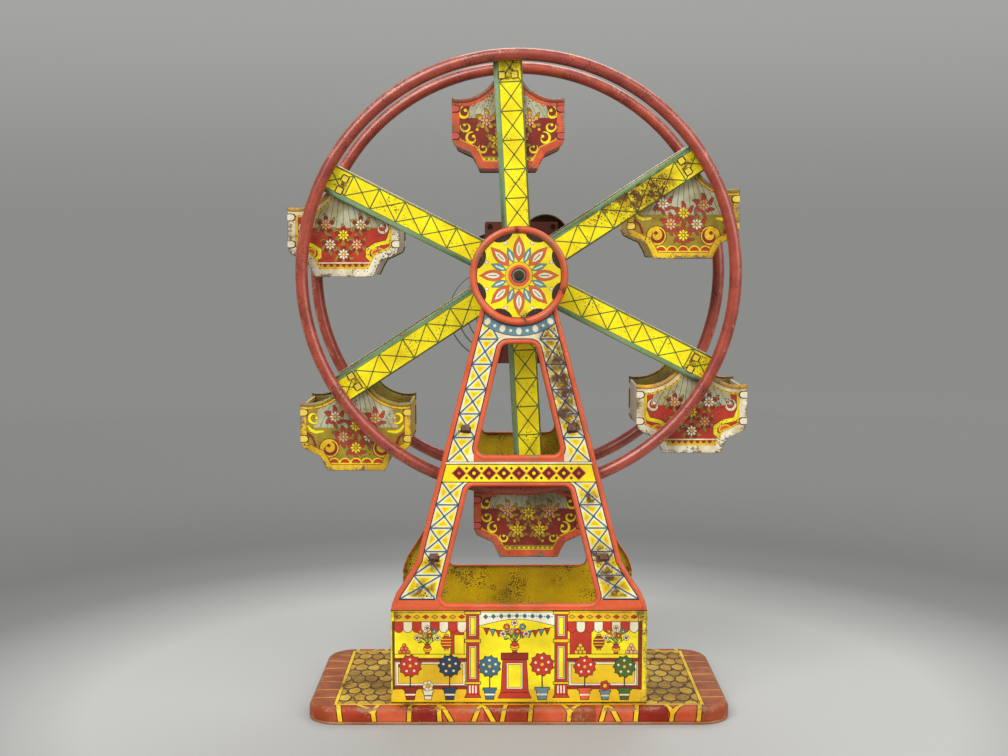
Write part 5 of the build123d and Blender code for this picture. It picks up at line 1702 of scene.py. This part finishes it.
@dataclass
class Spoke:
    """One channel strip with its printed lattice."""

    side: Side
    number: int
    inner: float = 17.0
    outer: float = 138.6
    half: float = 9.0
    plane: float = 34.3
    flange: float = 3.6
    bay: float = 18.0
    first_bar: float = 137.8

    def band_hand(self) -> int:
        """Which long edge carries the wide green band."""
        return 1 if self.number in (1, 2, 6) else -1

    @staticmethod
    @cache
    def print_of(hand: int) -> Sheet:
        """The print with its wide band on one hand, shared by the spokes that have it."""
        return Spoke(Side.FRONT, 1).artwork(hand).print()

    def artwork(self, hand: int) -> Artwork:
        """Girder print.

        Args:
            hand: 1 when the wide band lies on the left of the outward run, else -1.

        Returns:
            The print on the flat strip.
        """
        art = Artwork(rectangle(self.inner, -self.half, self.outer, self.half), Ink.LEMON)
        ends = (self.inner, self.outer)

        def strip(ink: Ink, near: float, far: float) -> None:
            """Lays a band between two distances from the strip's middle."""
            art.fill(ink, rectangle(ends[0], min(near, far), ends[1], max(near, far)))

        low, high = -8.0 * hand, 5.7 * hand
        for k in range(7):
            top = self.first_bar - self.bay * k
            foot = max(top - self.bay, self.inner)
            art.line(Ink.MOSS, [(top, low), (foot, high)], 0.75)
            art.line(Ink.MOSS, [(top, high), (foot, low)], 0.75)
            art.line(Ink.MOSS, [(foot, low), (foot, high)], 0.85)
            art.fill(Ink.MOSS, disc(((top + foot) / 2, (low + high) / 2), 0.8, 8))
        strip(Ink.SAGE, 5.8 * hand, 8.96 * hand)
        strip(Ink.MOSS, 5.6 * hand, 5.95 * hand)
        # Thin cream strips on both long edges, carried round the turned flanges: a painted highlight along the
        # bends.
        strip(Ink.CREAM, 8.96 * hand, 9.0 * hand)
        strip(Ink.MOSS, -8.96 * hand, -7.9 * hand)
        # Cream edge on this side too, a painted highlight along the bend.
        strip(Ink.CREAM, -8.96 * hand, -9.0 * hand)
        dice, spot = Random(11), rounded(rectangle(-2.4, -2.3, 2.4, 2.3), 0.9, 3)
        # Dark patches painted round the hanger tube's tabs, painted shade of their slots.
        for across in (-4.1, 4.1):
            tab_shade = [(x * dice.uniform(0.95, 1.12), z * dice.uniform(0.95, 1.1)) for x, z in spot]
            art.fill(Ink.UMBER, placed(tab_shade, (HANGER_RADIUS, across)))
        for inset in (0.12, 0.35, 0.75, 1.0):
            for y in (inset - self.half, self.half - inset):
                art.folds.append(([(self.inner, y), (self.outer, y)], False))
        return art

    def place(self, flat: np.ndarray, height: np.ndarray) -> np.ndarray:
        """Lays the strip at its angle on the wheel.

        Args:
            flat: Points along and across the strip.
            height: Height of each over the strip's face.

        Returns:
            Points in space.
        """
        turn = radians(SPOKE_ANGLES[self.number - 1])
        out, across = flat.T
        x = out * cos(turn) - across * sin(turn)
        z = HUB_HEIGHT + out * sin(turn) + across * cos(turn)
        return np.column_stack([x, self.side.value * (self.plane + height), z])

    def build(self) -> None:
        """Builds the strip with its turned-in long edges."""
        sheet = deepcopy(self.print_of(self.band_hand()))
        rims = [[(self.inner, self.half), (self.outer, self.half)],
                [(self.inner, -self.half), (self.outer, -self.half)]]
        sheet.form(rims, [(0.0, -0.7), (0.12, -0.36), (0.35, -0.12), (0.75, 0.0)])
        spots = [((HANGER_RADIUS, 0.0), 6.0)]
        if self.side is Side.FRONT and self.number == 6:
            spots += [((88.0, 1.0), 17.0), ((104.0, -2.0), 15.0), ((70.0, 3.0), 9.0)]
        else:
            spots += [((40.0 + 17.0 * self.number, 5.0), 5.0)]
        sheet.stain(spots)
        sheet.turn_edges(rims, [(0.0, -2.0), (0.0, -self.flange)])
        if self.side is Side.REAR:
            sheet.faces = [face[::-1] for face in sheet.faces]
        node = f"spoke_{self.side.name.lower()}_{self.number}"
        piece = sheet.piece(f"{node}_printed", self.place, 0.8)
        fit(piece, "wheel", "spoke_litho", [node], LITHO_WHEEL, INSIDE_TIN)


# ---- cars
@dataclass(frozen=True)
class CarStyle:
    """What sets one print of the cars apart.

    Attributes:
        name: Its word in the names of the material slots.
        tub: Finish of the tub.
        border, width: Ink and width of the border.
        rim: Ink of the hollow shoulders.
        field: Ink of the picture field.
        rays, horizon: Ink of the rays in the pale top, and height where the top ends.
        bunch, bud, leaf: Radius of a bunch of blossoms, and inks of its buds and leaves.
        blossoms: Middle and petal ink of each bunch.
    """

    name: str
    tub: Finish
    border: Ink
    width: float
    rim: Ink
    field: Ink
    rays: Ink
    horizon: float
    bunch: float
    bud: Ink
    leaf: Ink
    blossoms: tuple[tuple[Point, Ink], ...]


class CarPrint(Enum):
    """The three prints that the cars are made in."""

    RED = CarStyle(
        "red", TUB_RED, Ink.ORANGE, 4.8, Ink.BRICK, Ink.CRIMSON, Ink.OLIVE, -26.0, 5.6, Ink.GOLD, Ink.OLIVE,
        (((-13.5, -27.5), Ink.PINK), ((13.5, -27.5), Ink.PINK), ((-7.0, -40.0), Ink.LEMON),
         ((7.0, -40.0), Ink.LEMON), ((0.0, -29.0), Ink.LEMON)))
    CREAM = CarStyle(
        "cream", TUB_CREAM, Ink.CREAM, 4.8, Ink.GOLD, Ink.RED, Ink.MOSS, -27.0, 5.2, Ink.CRIMSON, Ink.OLIVE,
        (((-11.0, -25.0), Ink.PINK), ((11.0, -25.0), Ink.CREAM), ((0.0, -31.5), Ink.LEMON),
         ((-8.4, -37.4), Ink.CREAM), ((8.4, -37.4), Ink.PINK), ((0.0, -43.6), Ink.CREAM)))
    YELLOW = CarStyle(
        "yellow", TUB_YELLOW, Ink.YELLOW, 3.9, Ink.OLIVE, Ink.OLIVE, Ink.MOSS, -30.0, 5.4, Ink.RED, Ink.BRICK,
        (((-13.0, -23.0), Ink.CREAM), ((12.6, -24.0), Ink.PINK), ((0.0, -29.0), Ink.LEMON),
         ((-8.0, -36.0), Ink.PINK), ((8.4, -36.0), Ink.CREAM), ((0.0, -43.0), Ink.LEMON)))


CAR_PRINTS = [*CarPrint] * 2


@dataclass
class Car:
    """One hanging car: two printed panels with a bent tub strip between them."""

    number: int
    face: float = 30.0
    eye: float = 7.5
    join: Point = (5.9, 4.63)
    shoulder_middle: Point = (20.0, -12.05)
    corner: Point = (35.3, -13.6)
    foot: tuple[Point, ...] = (
        (18.6, -57.8), (21.0, -52.4), (23.6, -48.0), (28.5, -45.8), (33.6, -43.3), (35.3, -39.5))
    tabs: tuple[float, float] = (-20.4, -37.3)
    tab_half: float = 1.9
    notch: float = 0.5
    tub_inset: float = 0.8
    tub_top: float = -15.8
    art: Artwork = field(init=False)

    def shoulder(self) -> Path:
        """Hollow right-hand rim from the outer corner to the eye."""
        return arc_through(self.corner, self.shoulder_middle, self.join, 16)

    def half_outline(self, notched: bool) -> Path:
        """Right-hand half of the outline from the foot to the eye, for a later mirror.

        Args:
            notched: Whether it has the notches for the tabs.

        Returns:
            The open path.
        """
        side: Path = []
        if notched:
            for middle in reversed(self.tabs):
                low, high = middle - self.tab_half, middle + self.tab_half
                x = self.corner[0]
                side += [(x, low), (x - self.notch, low), (x - self.notch, high), (x, high)]
        return [*self.foot, *side, *self.shoulder()]

    def outline(self, notched: bool = True) -> Path:
        """Whole outline of a panel.

        Args:
            notched: Whether it has the notches for the tabs.

        Returns:
            Closed path, counter-clockwise.
        """
        half = self.half_outline(notched)
        lift = degrees(atan2(self.join[1], self.join[0]))
        top = arc((0.0, 0.0), self.eye, lift, 180 - lift, 12)[1:-1]
        return half + top + mirrored(half)

    def inset(self, distance: float, top: float = -4.0) -> Path:
        """Outline moved inwards and cut off below the eye.

        Args:
            distance: How far it moves.
            top: Height of the cut.

        Returns:
            Closed path.
        """
        half = [*self.foot, *self.shoulder()]
        moved = offset(half + mirrored(half), distance)[:len(half)]
        kept = [point for point in moved if point[1] < top]
        return kept + mirrored(kept)

    def sunburst(self, low: float, ink: Ink) -> None:
        """Worn pale top of the field with fine rays.

        Args:
            low: Height where it ends.
            ink: Ink of the rays.
        """
        half = 18.0 - low * 0.3
        self.art.fill(Ink.PEARL, [(-half, low), (half, low), (24.0, -19.0), (12.0, -7.5), (6.0, 6.0),
                                  (-6.0, 6.0), (-12.0, -7.5), (-24.0, -19.0)])
        for k in range(-5, 6):
            self.art.line(ink, [(1.2 * k, 4.0), (4.6 * k, low)], 0.4)

    def bunch(self, at: Point, ink: Ink, style: CarStyle) -> None:
        """Open flower on a ring of buds and leaves.

        Args:
            at: Its middle.
            ink: Ink of the petals.
            style: Print that it belongs to.
        """
        size, flower = style.bunch, style.bunch * 0.66
        blade = disc((0.0, 0.0), size * 0.46, 8, 0.45)
        petal = disc((flower * 0.66, 0), flower * 0.36, 8, 0.62)
        for k in range(6):
            leaf = placed(blade, polar(size, 60 * k + 30, at), 60 * k + 60)
            self.art.fill(style.leaf, leaf, Ink.MAROON, 0.25)
        for k in range(5):
            bud = disc(polar(size * 0.78, 72 * k + 90, at), size * 0.27, 8)
            self.art.fill(style.bud, bud, Ink.MAROON, 0.3)
        for k in range(8):
            self.art.fill(ink, placed(petal, at, 45 * k), Ink.MAROON, 0.22)
        self.art.fill(Ink.YELLOW, disc(at, flower * 0.32, 10), Ink.MAROON, 0.3)

    def scrollwork(self) -> None:
        """Scrolls down both sides and a beaded foot, for the red print."""
        scrolls = ((27.2, -22.8, 3.9, 95), (26.6, -31.4, 3.4, 40),
                   (22.6, -38.6, 3.9, 120), (15.6, -45.0, 3.0, 60))
        for hand in (-1, 1):
            for x, z, size, turn in scrolls:
                turn = turn if hand > 0 else 180 - turn
                self.art.scroll(Ink.LEMON, (hand * x, z), size, turn, -hand, Ink.MAROON)
            for x, z in ((19.4, -33.2), (9.0, -47.2), (21.8, -17.4)):
                self.art.fill(Ink.YELLOW, disc((hand * x, z), 1.2, 8), Ink.MAROON)
        self.art.fill(Ink.OLIVE, [(-20.0, -53.2), (20.0, -53.2), (21.6, -50.0), (-21.6, -50.0)])
        for k in range(-6, 7):
            self.art.fill(Ink.LEMON, disc((3.0 * k, -51.6), 0.75, 6))
        lower = self.inset(5.0, -24.0)
        self.art.line(Ink.YELLOW, lower[len(lower) // 2:] + lower[:len(lower) // 2], 0.9)

    def lobes(self) -> None:
        """Lobed bands, scrolls and a riveted line, for the cream print."""
        band = [(29.8, -19.0), (30.0, -30.0), (27.6, -36.0), (20.4, -37.6),
                (15.2, -41.0), (15.2, -45.0), (18.6, -47.8), (23.0, -46.8)]
        for hand in (-1, 1):
            self.art.line(Ink.MAROON, handed(band, hand), 3.2)
            self.art.line(Ink.LEMON, handed(band, hand), 2.4)
            self.art.fill(Ink.ORANGE, disc((hand * 21.6, -42.6), 3.9, 14, 0.72), Ink.YELLOW, 1.0)
            self.art.scroll(Ink.CREAM, (hand * 24.2, -27.0), 3.8, 90, -hand, Ink.MAROON)
        self.art.fill(Ink.GOLD, [(-20.0, -53.6), (20.0, -53.6), (22.6, -49.2), (-22.6, -49.2)])
        self.art.line(Ink.CREAM, [(-23.0, -49.0), (23.0, -49.0)], 0.7)
        for k in range(-5, 6):
            self.art.fill(Ink.CRIMSON, [(3.9 * k - 1.8, -49.6), (3.9 * k + 1.8, -49.6), (3.9 * k, -52.2)])
        self.art.line(Ink.YELLOW, self.inset(5.3), 1.8, closed=True)
        for at in self.inset(5.3):
            self.art.fill(Ink.UMBER, disc(at, 0.4, 6))

    def shells(self) -> None:
        """Curls in discs, leaf strokes and a row of shells, for the yellow print."""
        stroke = [(31.0, -28.4), (28.4, -31.8), (25.4, -33.0), (20.4, -32.4)]
        stalk = [(31.2, -33.4), (27.6, -36.4), (25.6, -42.0)]
        for hand in (-1, 1):
            self.art.fill(Ink.YELLOW, disc((hand * 17.0, -43.4), 6.3, 18), Ink.MAROON, 0.5)
            self.art.scroll(Ink.CRIMSON, (hand * 17.0, -43.4), 4.8, 90, hand)
            self.art.scroll(Ink.LEMON, (hand * 26.4, -23.6), 3.9, 200 if hand > 0 else -20, hand, Ink.BRICK)
            self.art.swell(Ink.LEMON, handed(stroke, hand), [0.8, 1.9, 1.9, 1.0])
            self.art.line(Ink.CRIMSON, handed(stalk, hand), 1.7)
        for k in range(-2, 3):
            self.art.fill(Ink.RED, arc((7.0 * k, -53.2), 3.4, 0, 180, 10), Ink.LEMON, 0.7)

    def draw(self) -> None:
        """Lays the whole print of one panel."""
        kind = CAR_PRINTS[self.number - 1]
        style = kind.value
        self.art = Artwork(self.outline(), style.border)
        self.art.fill(style.field, self.inset(4.4))
        self.sunburst(style.horizon, style.rays)
        for at, ink in style.blossoms:
            self.bunch(at, ink, style)
        {CarPrint.RED: self.scrollwork, CarPrint.CREAM: self.lobes, CarPrint.YELLOW: self.shells}[kind]()
        plain, shoulders = self.outline(False), (self.shoulder(), mirrored(self.shoulder()))
        self.art.line(style.border, offset(plain, style.width / 2 - 0.1), style.width + 0.2, closed=True)
        if kind is CarPrint.YELLOW:
            self.art.line(Ink.BRICK, self.inset(4.1), 0.5, closed=True)
        for path in shoulders:
            self.art.line(Ink.MAROON, offset(path, 2.6, False), 0.4)
            self.art.line(style.rim, offset(path, 1.2, False), 2.7)
        # A dark rim painted round each tab, painted shade under its edge.
        for middle in self.tabs:
            for hand in (-1, 1):
                self.art.fill(Ink.UMBER, handed(self.tab_shape(middle, 0.55), hand))
        self.art.holes = [disc((0.0, 0.0), 2.65, 16)]
        for path in shoulders:
            for distance in (0.2, 0.6, 1.2, 1.8, 2.4, 2.7):
                self.art.folds.append((offset(path, distance, False), False))
        for distance in (0.3, 0.7):
            self.art.folds.append((offset(plain, distance), True))

    def tab_shape(self, middle: float, grow: float = 0.0) -> Path:
        """Outline of a bent tab on the right-hand side of a panel.

        Args:
            middle: Height of its middle.
            grow: How much larger it is than the tab, all round.

        Returns:
            Closed path.
        """
        half = self.tab_half + grow
        edge, tip = self.corner[0] - self.notch * 0.2, self.corner[0] - 4.7 - grow
        return [(tip + 1.6, middle - half), (tip + 0.5, middle - half + 0.5), (tip, middle - half + 1.5),
                (tip, middle + half - 1.5), (tip + 0.5, middle + half - 0.5), (tip + 1.6, middle + half),
                (edge, middle + half), (edge, middle - half)]

    @staticmethod
    @cache
    def print_of(kind: CarPrint) -> Sheet:
        """The formed print of one kind, shared by its cars.

        Args:
            kind: The print.

        Returns:
            The sheet with its relief and turned edges.
        """
        car = Car(CAR_PRINTS.index(kind) + 1)
        car.draw()
        sheet = car.art.print()
        rims = [car.shoulder(), mirrored(car.shoulder())]
        sheet.form([car.outline() + car.outline()[:1]], [(0.0, -0.35), (0.3, -0.08), (0.7, 0.0)])
        sheet.form(rims, [(0.0, -0.9), (0.2, -0.35), (0.6, 0.12), (1.2, 0.38),
                          (1.8, 0.3), (2.4, 0.06), (2.7, 0.0)])
        sheet.turn_edges(rims, [(0.1, -1.3), (0.6, -1.6)])
        return sheet

    def tub_path(self) -> Path:
        """Middle line of the tub strip with its folded top edges.

        Returns:
            Open path.
        """
        body = offset(self.outline(False), self.tub_inset + TIN / 2)
        x, top = body[5][0], self.tub_top
        hem = [(x - 0.95, top - 2.8), (x - 0.95, top - 0.55), (x - 0.5, top - 0.25), (x, top - 0.6)]
        run = hem + body[5::-1]
        return run + mirrored(run)

    def tub_form(self) -> Form:
        """Tub strip with the tabs that hold it, bent over both panels.

        Returns:
            Points and faces about the eye.
        """
        parts = [ribbon(self.tub_path(), TIN, -self.face + 0.5, self.face - 0.5)]
        edge = self.corner[0] - self.notch + 0.22
        for middle in self.tabs:
            for hand in (-1, 1):
                shape = handed(self.tab_shape(middle), hand)
                shape = shape if area(shape) > 0 else shape[::-1]
                for near in (-self.face - 0.48, self.face + 0.02):
                    parts.append(plate(shape, near, near + 0.46))
                left, right = sorted((hand * edge, hand * (edge - 0.5)))
                neck = rectangle(left, middle - self.tab_half, right, middle + self.tab_half)
                for near, far in ((-self.face - 0.3, -self.face + 0.9), (self.face - 0.9, self.face + 0.3)):
                    parts.append(plate(neck, near, far))
        return joined(parts)

    def build(self) -> None:
        """Builds both panels, the tub and its tabs."""
        x, z = polar(HANGER_RADIUS, SPOKE_ANGLES[self.number - 1], (0.0, HUB_HEIGHT))
        kind = CAR_PRINTS[self.number - 1]
        body, node = f"car_{self.number}", f"gondola_{self.number}"
        for side in Side:
            name = f"{node}_panel_{side.name.lower()}"
            piece = self.print_of(kind).piece(name, upright(side, self.face, (x, z)))
            fit(piece, body, f"car_litho_{kind.value.name}", [f"{node}_panels"], LITHO_CAR, INSIDE_CAR)
        points, faces = self.tub_form()
        tub = make_piece(f"{node}_tub_strip", points + np.array([x, 0.0, z]), faces)
        for inner in list(tub.data.polygons)[2:4 * len(self.tub_path()) - 4:4]:
            inner.material_index = 1
        soften(tub, 0.14)
        fit(tub, body, f"tub_{kind.value.name}", [f"{node}_tub"], kind.value.tub, INSIDE_CAR)


# ---- motor
@dataclass
class Mainspring:
    """Slack spiral spring of the motor, hooked round its pillar."""

    arbor: Point = (0.0, -30.0)
    loops: int = 8
    strip: float = 0.35
    front: float = 68.6
    width: float = 8.0
    first: float = 4.0
    step: float = 0.4
    slack: float = 1.2
    right: float = 12.4
    left: float = 47.7
    pillar: Point = (24.2, -60.0)
    hook: float = 2.3
    tail: float = 3.0

    def path(self) -> Path:
        """Middle line of the strip about the arbor, from its inner end to its hook.

        Returns:
            Open path.
        """
        rights = [self.first + (self.right - self.first) / self.loops * k for k in range(self.loops + 1)]
        span = self.left - self.first - self.step
        lefts = [self.left - span * (1 - (k / self.loops) ** self.slack) for k in range(self.loops + 1)]
        run: Path = []
        for k in range(self.loops + 1):
            run += arc(((rights[k] - lefts[k]) / 2, 0.0), (rights[k] + lefts[k]) / 2, 0, 180, 36)[:-1]
            if k < self.loops:
                right = rights[k + 1]
                run += arc(((right - lefts[k]) / 2, 0.0), (right + lefts[k]) / 2, 180, 360, 36)[:-1]
        anchor = (self.pillar[0] - self.arbor[0], self.pillar[1] - self.arbor[1])
        foot = self.hook - anchor[1]
        run += arc((foot - self.left, 0.0), foot, 180, 270, 18)
        run += arc(anchor, self.hook, -90, 90, 12)
        run.append((anchor[0] - self.tail, anchor[1] + self.hook))
        return placed(run, (self.arbor[0], HUB_HEIGHT + self.arbor[1]))

    def build(self) -> None:
        """Builds the strip and dresses it."""
        points, faces = ribbon(self.path(), self.strip, self.front, self.front + self.width)
        piece = make_piece("mainspring_strip", points, faces, smooth=25.0)
        soften(piece, 0.06)
        fit(piece, "stand", "spring_steel", ["mainspring"], SPRING_BLUE)


@dataclass(frozen=True)
class Works:
    """Motor, bearings and crank, whose model is right as it is and only takes finishes.

    Attributes:
        bevel: Usual width of the broken edges.
        parts: For each node its finish, its material slot and, if it isn't the usual one,
            the width of its broken edges.
    """

    bevel: float = 0.2
    parts: tuple[tuple, ...] = (
        ("leg_braces", TAB_RUST, "steel", 0.12),
        ("axle_bushes", STEEL, "steel"),
        ("motor_front_plate", MOTOR_PAINT, "motor_paint"),
        ("motor_rear_plate", MOTOR_PAINT, "motor_paint"),
        ("motor_pillars", BROWN_STEEL, "steel"),
        ("motor_rivets", BROWN_STEEL, "steel"),
        ("bell", BELL_RUST, "bell_metal"),
        ("bell_post", STEEL, "steel"),
        ("hub_discs", TUB_RED, "spoke_litho"),
        ("hub_tube", STEEL, "steel"),
        ("wheel_axle", GREEN_STEEL, "steel"),
        ("axle_pinion", BRASS, "gear_metal", 0.08),
        ("train_wheel", BRASS, "gear_metal", 0.08),
        ("bell_trip", STEEL, "steel", 0.1),
        *((f"hanger_tube_{k + 1}", TAB_YELLOW, "steel", 0.18) for k in range(SPOKES)),
        ("great_wheel", BRASS, "gear_metal", 0.1),
        ("ratchet_wheel", STEEL, "steel", 0.1),
        ("click", STEEL, "steel", 0.1),
        ("winding_arbor", STEEL, "steel"),
        ("governor_fly", FLY_BLACK, "fly_black"),
        ("bell_hammer", STEEL, "steel", 0.1),
        ("crank_arm", STEEL, "steel", 0.35),
        ("crank_knob", KNOB_WOOD, "knob_wood", 0.3),
    )

    def build(self) -> None:
        """Gives every node its finish and broken edges."""
        for node, finish, slot, *bevel in self.parts:
            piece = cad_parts[node]
            piece.data.materials.clear()
            piece.data.materials.append(finish.material())
            soften(piece, *bevel or [self.bevel])
            LOG.info("%s: model node in %s", node, finish.name)


# ---- studio
@dataclass
class Studio:
    """Pale floor with a painted pool of light round the toy and painted shade further out, soft lights and the
    camera where the photograph was taken.

    Attributes:
        camera_at: Place of the camera.
        pitch, yaw, roll: Turns of the camera from level, in degrees.
        lens: Focal length of the camera.
        horizon: Tone of the backdrop at its foot.
        zenith: Tone of the backdrop at its top.
        rise: Sine of the angle up to that top.
        floor_painted_light: Tone of the floor by distance from the toy: painted light near it, painted shade
            further out, and painted light again far out where the lamps fall off.
        floor_reach: Radius of the floor.
        floor_fade: Distances between which the floor gives way to the backdrop.
        ambient: Strength of the even light from all round.
    """

    camera_at: tuple[float, float, float] = (-8.5, -980.6, 303.0)
    pitch: float = -5.37
    yaw: float = 0.04
    roll: float = 0.05
    lens: float = 53.57
    horizon: Tone = (0.55, 0.55, 0.54)
    zenith: Tone = (0.65, 0.65, 0.64)
    rise: float = 0.17
    floor_painted_light: tuple[Point, ...] = (
        (280.0, 0.645), (330.0, 0.58), (430.0, 0.43), (540.0, 0.375), (900.0, 0.415), (1600.0, 0.43),
        (2500.0, 0.475))
    floor_reach: float = 2500.0
    floor_fade: tuple[float, float] = (1000.0, 2400.0)
    ambient: float = 0.42

    def world(self) -> None:
        """Plain backdrop to look at, and a softer even light from all round."""
        world = bpy.data.worlds.new("studio_world")
        world.use_nodes = True
        bpy.context.scene.world = world
        n = Nodes(world.node_tree)
        rays = n.add("ShaderNodeLightPath").outputs
        toward = n.add("ShaderNodeTexCoord").outputs["Generated"]
        height = n.add("ShaderNodeSeparateXYZ", {"Vector": toward}).outputs["Z"]
        tone = n.mix(n.between(height, 0.0, self.rise), linear(self.horizon), linear(self.zenith))
        seen = n.add("ShaderNodeBackground", {"Color": tone, "Strength": 1.0})
        lit = n.add("ShaderNodeBackground", {"Color": (1.0, 1.0, 1.0, 1.0), "Strength": self.ambient})
        straight = n.math("MAXIMUM", rays["Is Camera Ray"], rays["Is Glossy Ray"])
        straight = n.math("MAXIMUM", straight, rays["Is Transmission Ray"])
        both = n.add("ShaderNodeMixShader", {0: straight, 1: lit.outputs[0], 2: seen.outputs[0]})
        n.add("ShaderNodeOutputWorld", {"Surface": both.outputs[0]})

    def floor_material(self) -> bpy.types.Material:
        """Matt paper whose tone changes with the distance from the toy, a painted pool of light near it and
        painted shade further out.

        Returns:
            The Blender material.
        """
        made = bpy.data.materials.new("studio_floor")
        made.use_nodes = True
        n = Nodes(made.node_tree)
        place = n.add("ShaderNodeTexCoord").outputs["Object"]
        reach = n.add("ShaderNodeVectorMath", {0: place}, operation="LENGTH").outputs["Value"]
        # The ramp paints light and shade on the floor by the distance from the toy.
        light_pool_ramp = n.add("ShaderNodeValToRGB", {"Fac": n.math("DIVIDE", reach, n.math("ADD", reach, 1.0))})
        stops = light_pool_ramp.color_ramp.elements
        stops.remove(stops[0])
        # Painted light near the toy, painted shade beyond it, painted light again far out.
        for number, (distance, tone) in enumerate(self.floor_painted_light):
            share = distance * MM / (distance * MM + 1.0)
            stop = stops.new(share) if number else stops[0]
            stop.position = share
            stop.color = linear((tone, tone, 0.985 * tone))
        paper = n.add("ShaderNodeBsdfPrincipled", {"Base Color": light_pool_ramp.outputs["Color"], "Roughness": 0.8})
        gone = n.add("ShaderNodeBsdfTransparent")
        share = n.between(reach, *(limit * MM for limit in self.floor_fade))
        both = n.add("ShaderNodeMixShader", {0: share, 1: paper.outputs[0], 2: gone.outputs[0]})
        n.add("ShaderNodeOutputMaterial", {"Surface": both.outputs[0]})
        return made

    def floor(self) -> None:
        """Large round table top."""
        rim = [(*polar(self.floor_reach, 360.0 * k / 64), -0.02) for k in range(64)]
        floor = make_piece("studio_floor", np.array(rim), [list(range(64))])
        floor.data.materials.append(self.floor_material())

    def light(self, name: str, at: tuple[float, float, float], size: float, power: float) -> None:
        """Soft square light that faces the toy.

        Args:
            name: Name of the light.
            at: Its place.
            size: Length of its side in metres.
            power: Its power in watts.
        """
        lamp = bpy.data.lights.new(name, "AREA")
        lamp.shape = "SQUARE"
        lamp.size = size
        lamp.energy = power
        holder = bpy.data.objects.new(name, lamp)
        place = Vector(at) * MM
        holder.location = place
        holder.rotation_euler = (Vector((0, 0, 0.2)) - place).to_track_quat("-Z", "Y").to_euler()
        bpy.context.scene.collection.objects.link(holder)

    def camera(self) -> None:
        """Camera at the photograph's angle."""
        camera = bpy.data.cameras.new("photo_camera")
        camera.lens = self.lens
        camera.sensor_width = 36.0
        camera.clip_start, camera.clip_end = 0.01, 100.0
        camera.dof.use_dof = False
        holder = bpy.data.objects.new("photo_camera", camera)
        holder.location = Vector(self.camera_at) * MM
        holder.rotation_euler = Euler((radians(90 + self.pitch), radians(self.roll), radians(self.yaw)))
        bpy.context.scene.collection.objects.link(holder)
        bpy.context.scene.camera = holder

    def build(self) -> None:
        """Sets up everything round the toy."""
        bpy.context.scene.view_settings.view_transform = "Standard"
        self.world()
        self.floor()
        self.light("key_light", (-1800.0, -3000.0, 3200.0), 3.0, 206.0)
        self.light("fill_light", (3000.0, -2800.0, 1900.0), 3.5, 126.0)
        self.light("rear_light", (600.0, 2400.0, 3400.0), 3.0, 88.0)
        self.camera()


def main() -> None:
    """Builds every sub-assembly in order."""
    logging.basicConfig(level=logging.INFO, format="%(message)s")
    Studio().build()
    BasePan().build()
    for side in Side:
        Tower(side).build()
        Ring(side).build()
    Dial().build()
    for number in range(1, SPOKES + 1):
        for side in Side:
            Spoke(side, number).build()
        Car(number).build()
    Mainspring().build()
    Works().build()


if __name__ == "__main__":
    main()
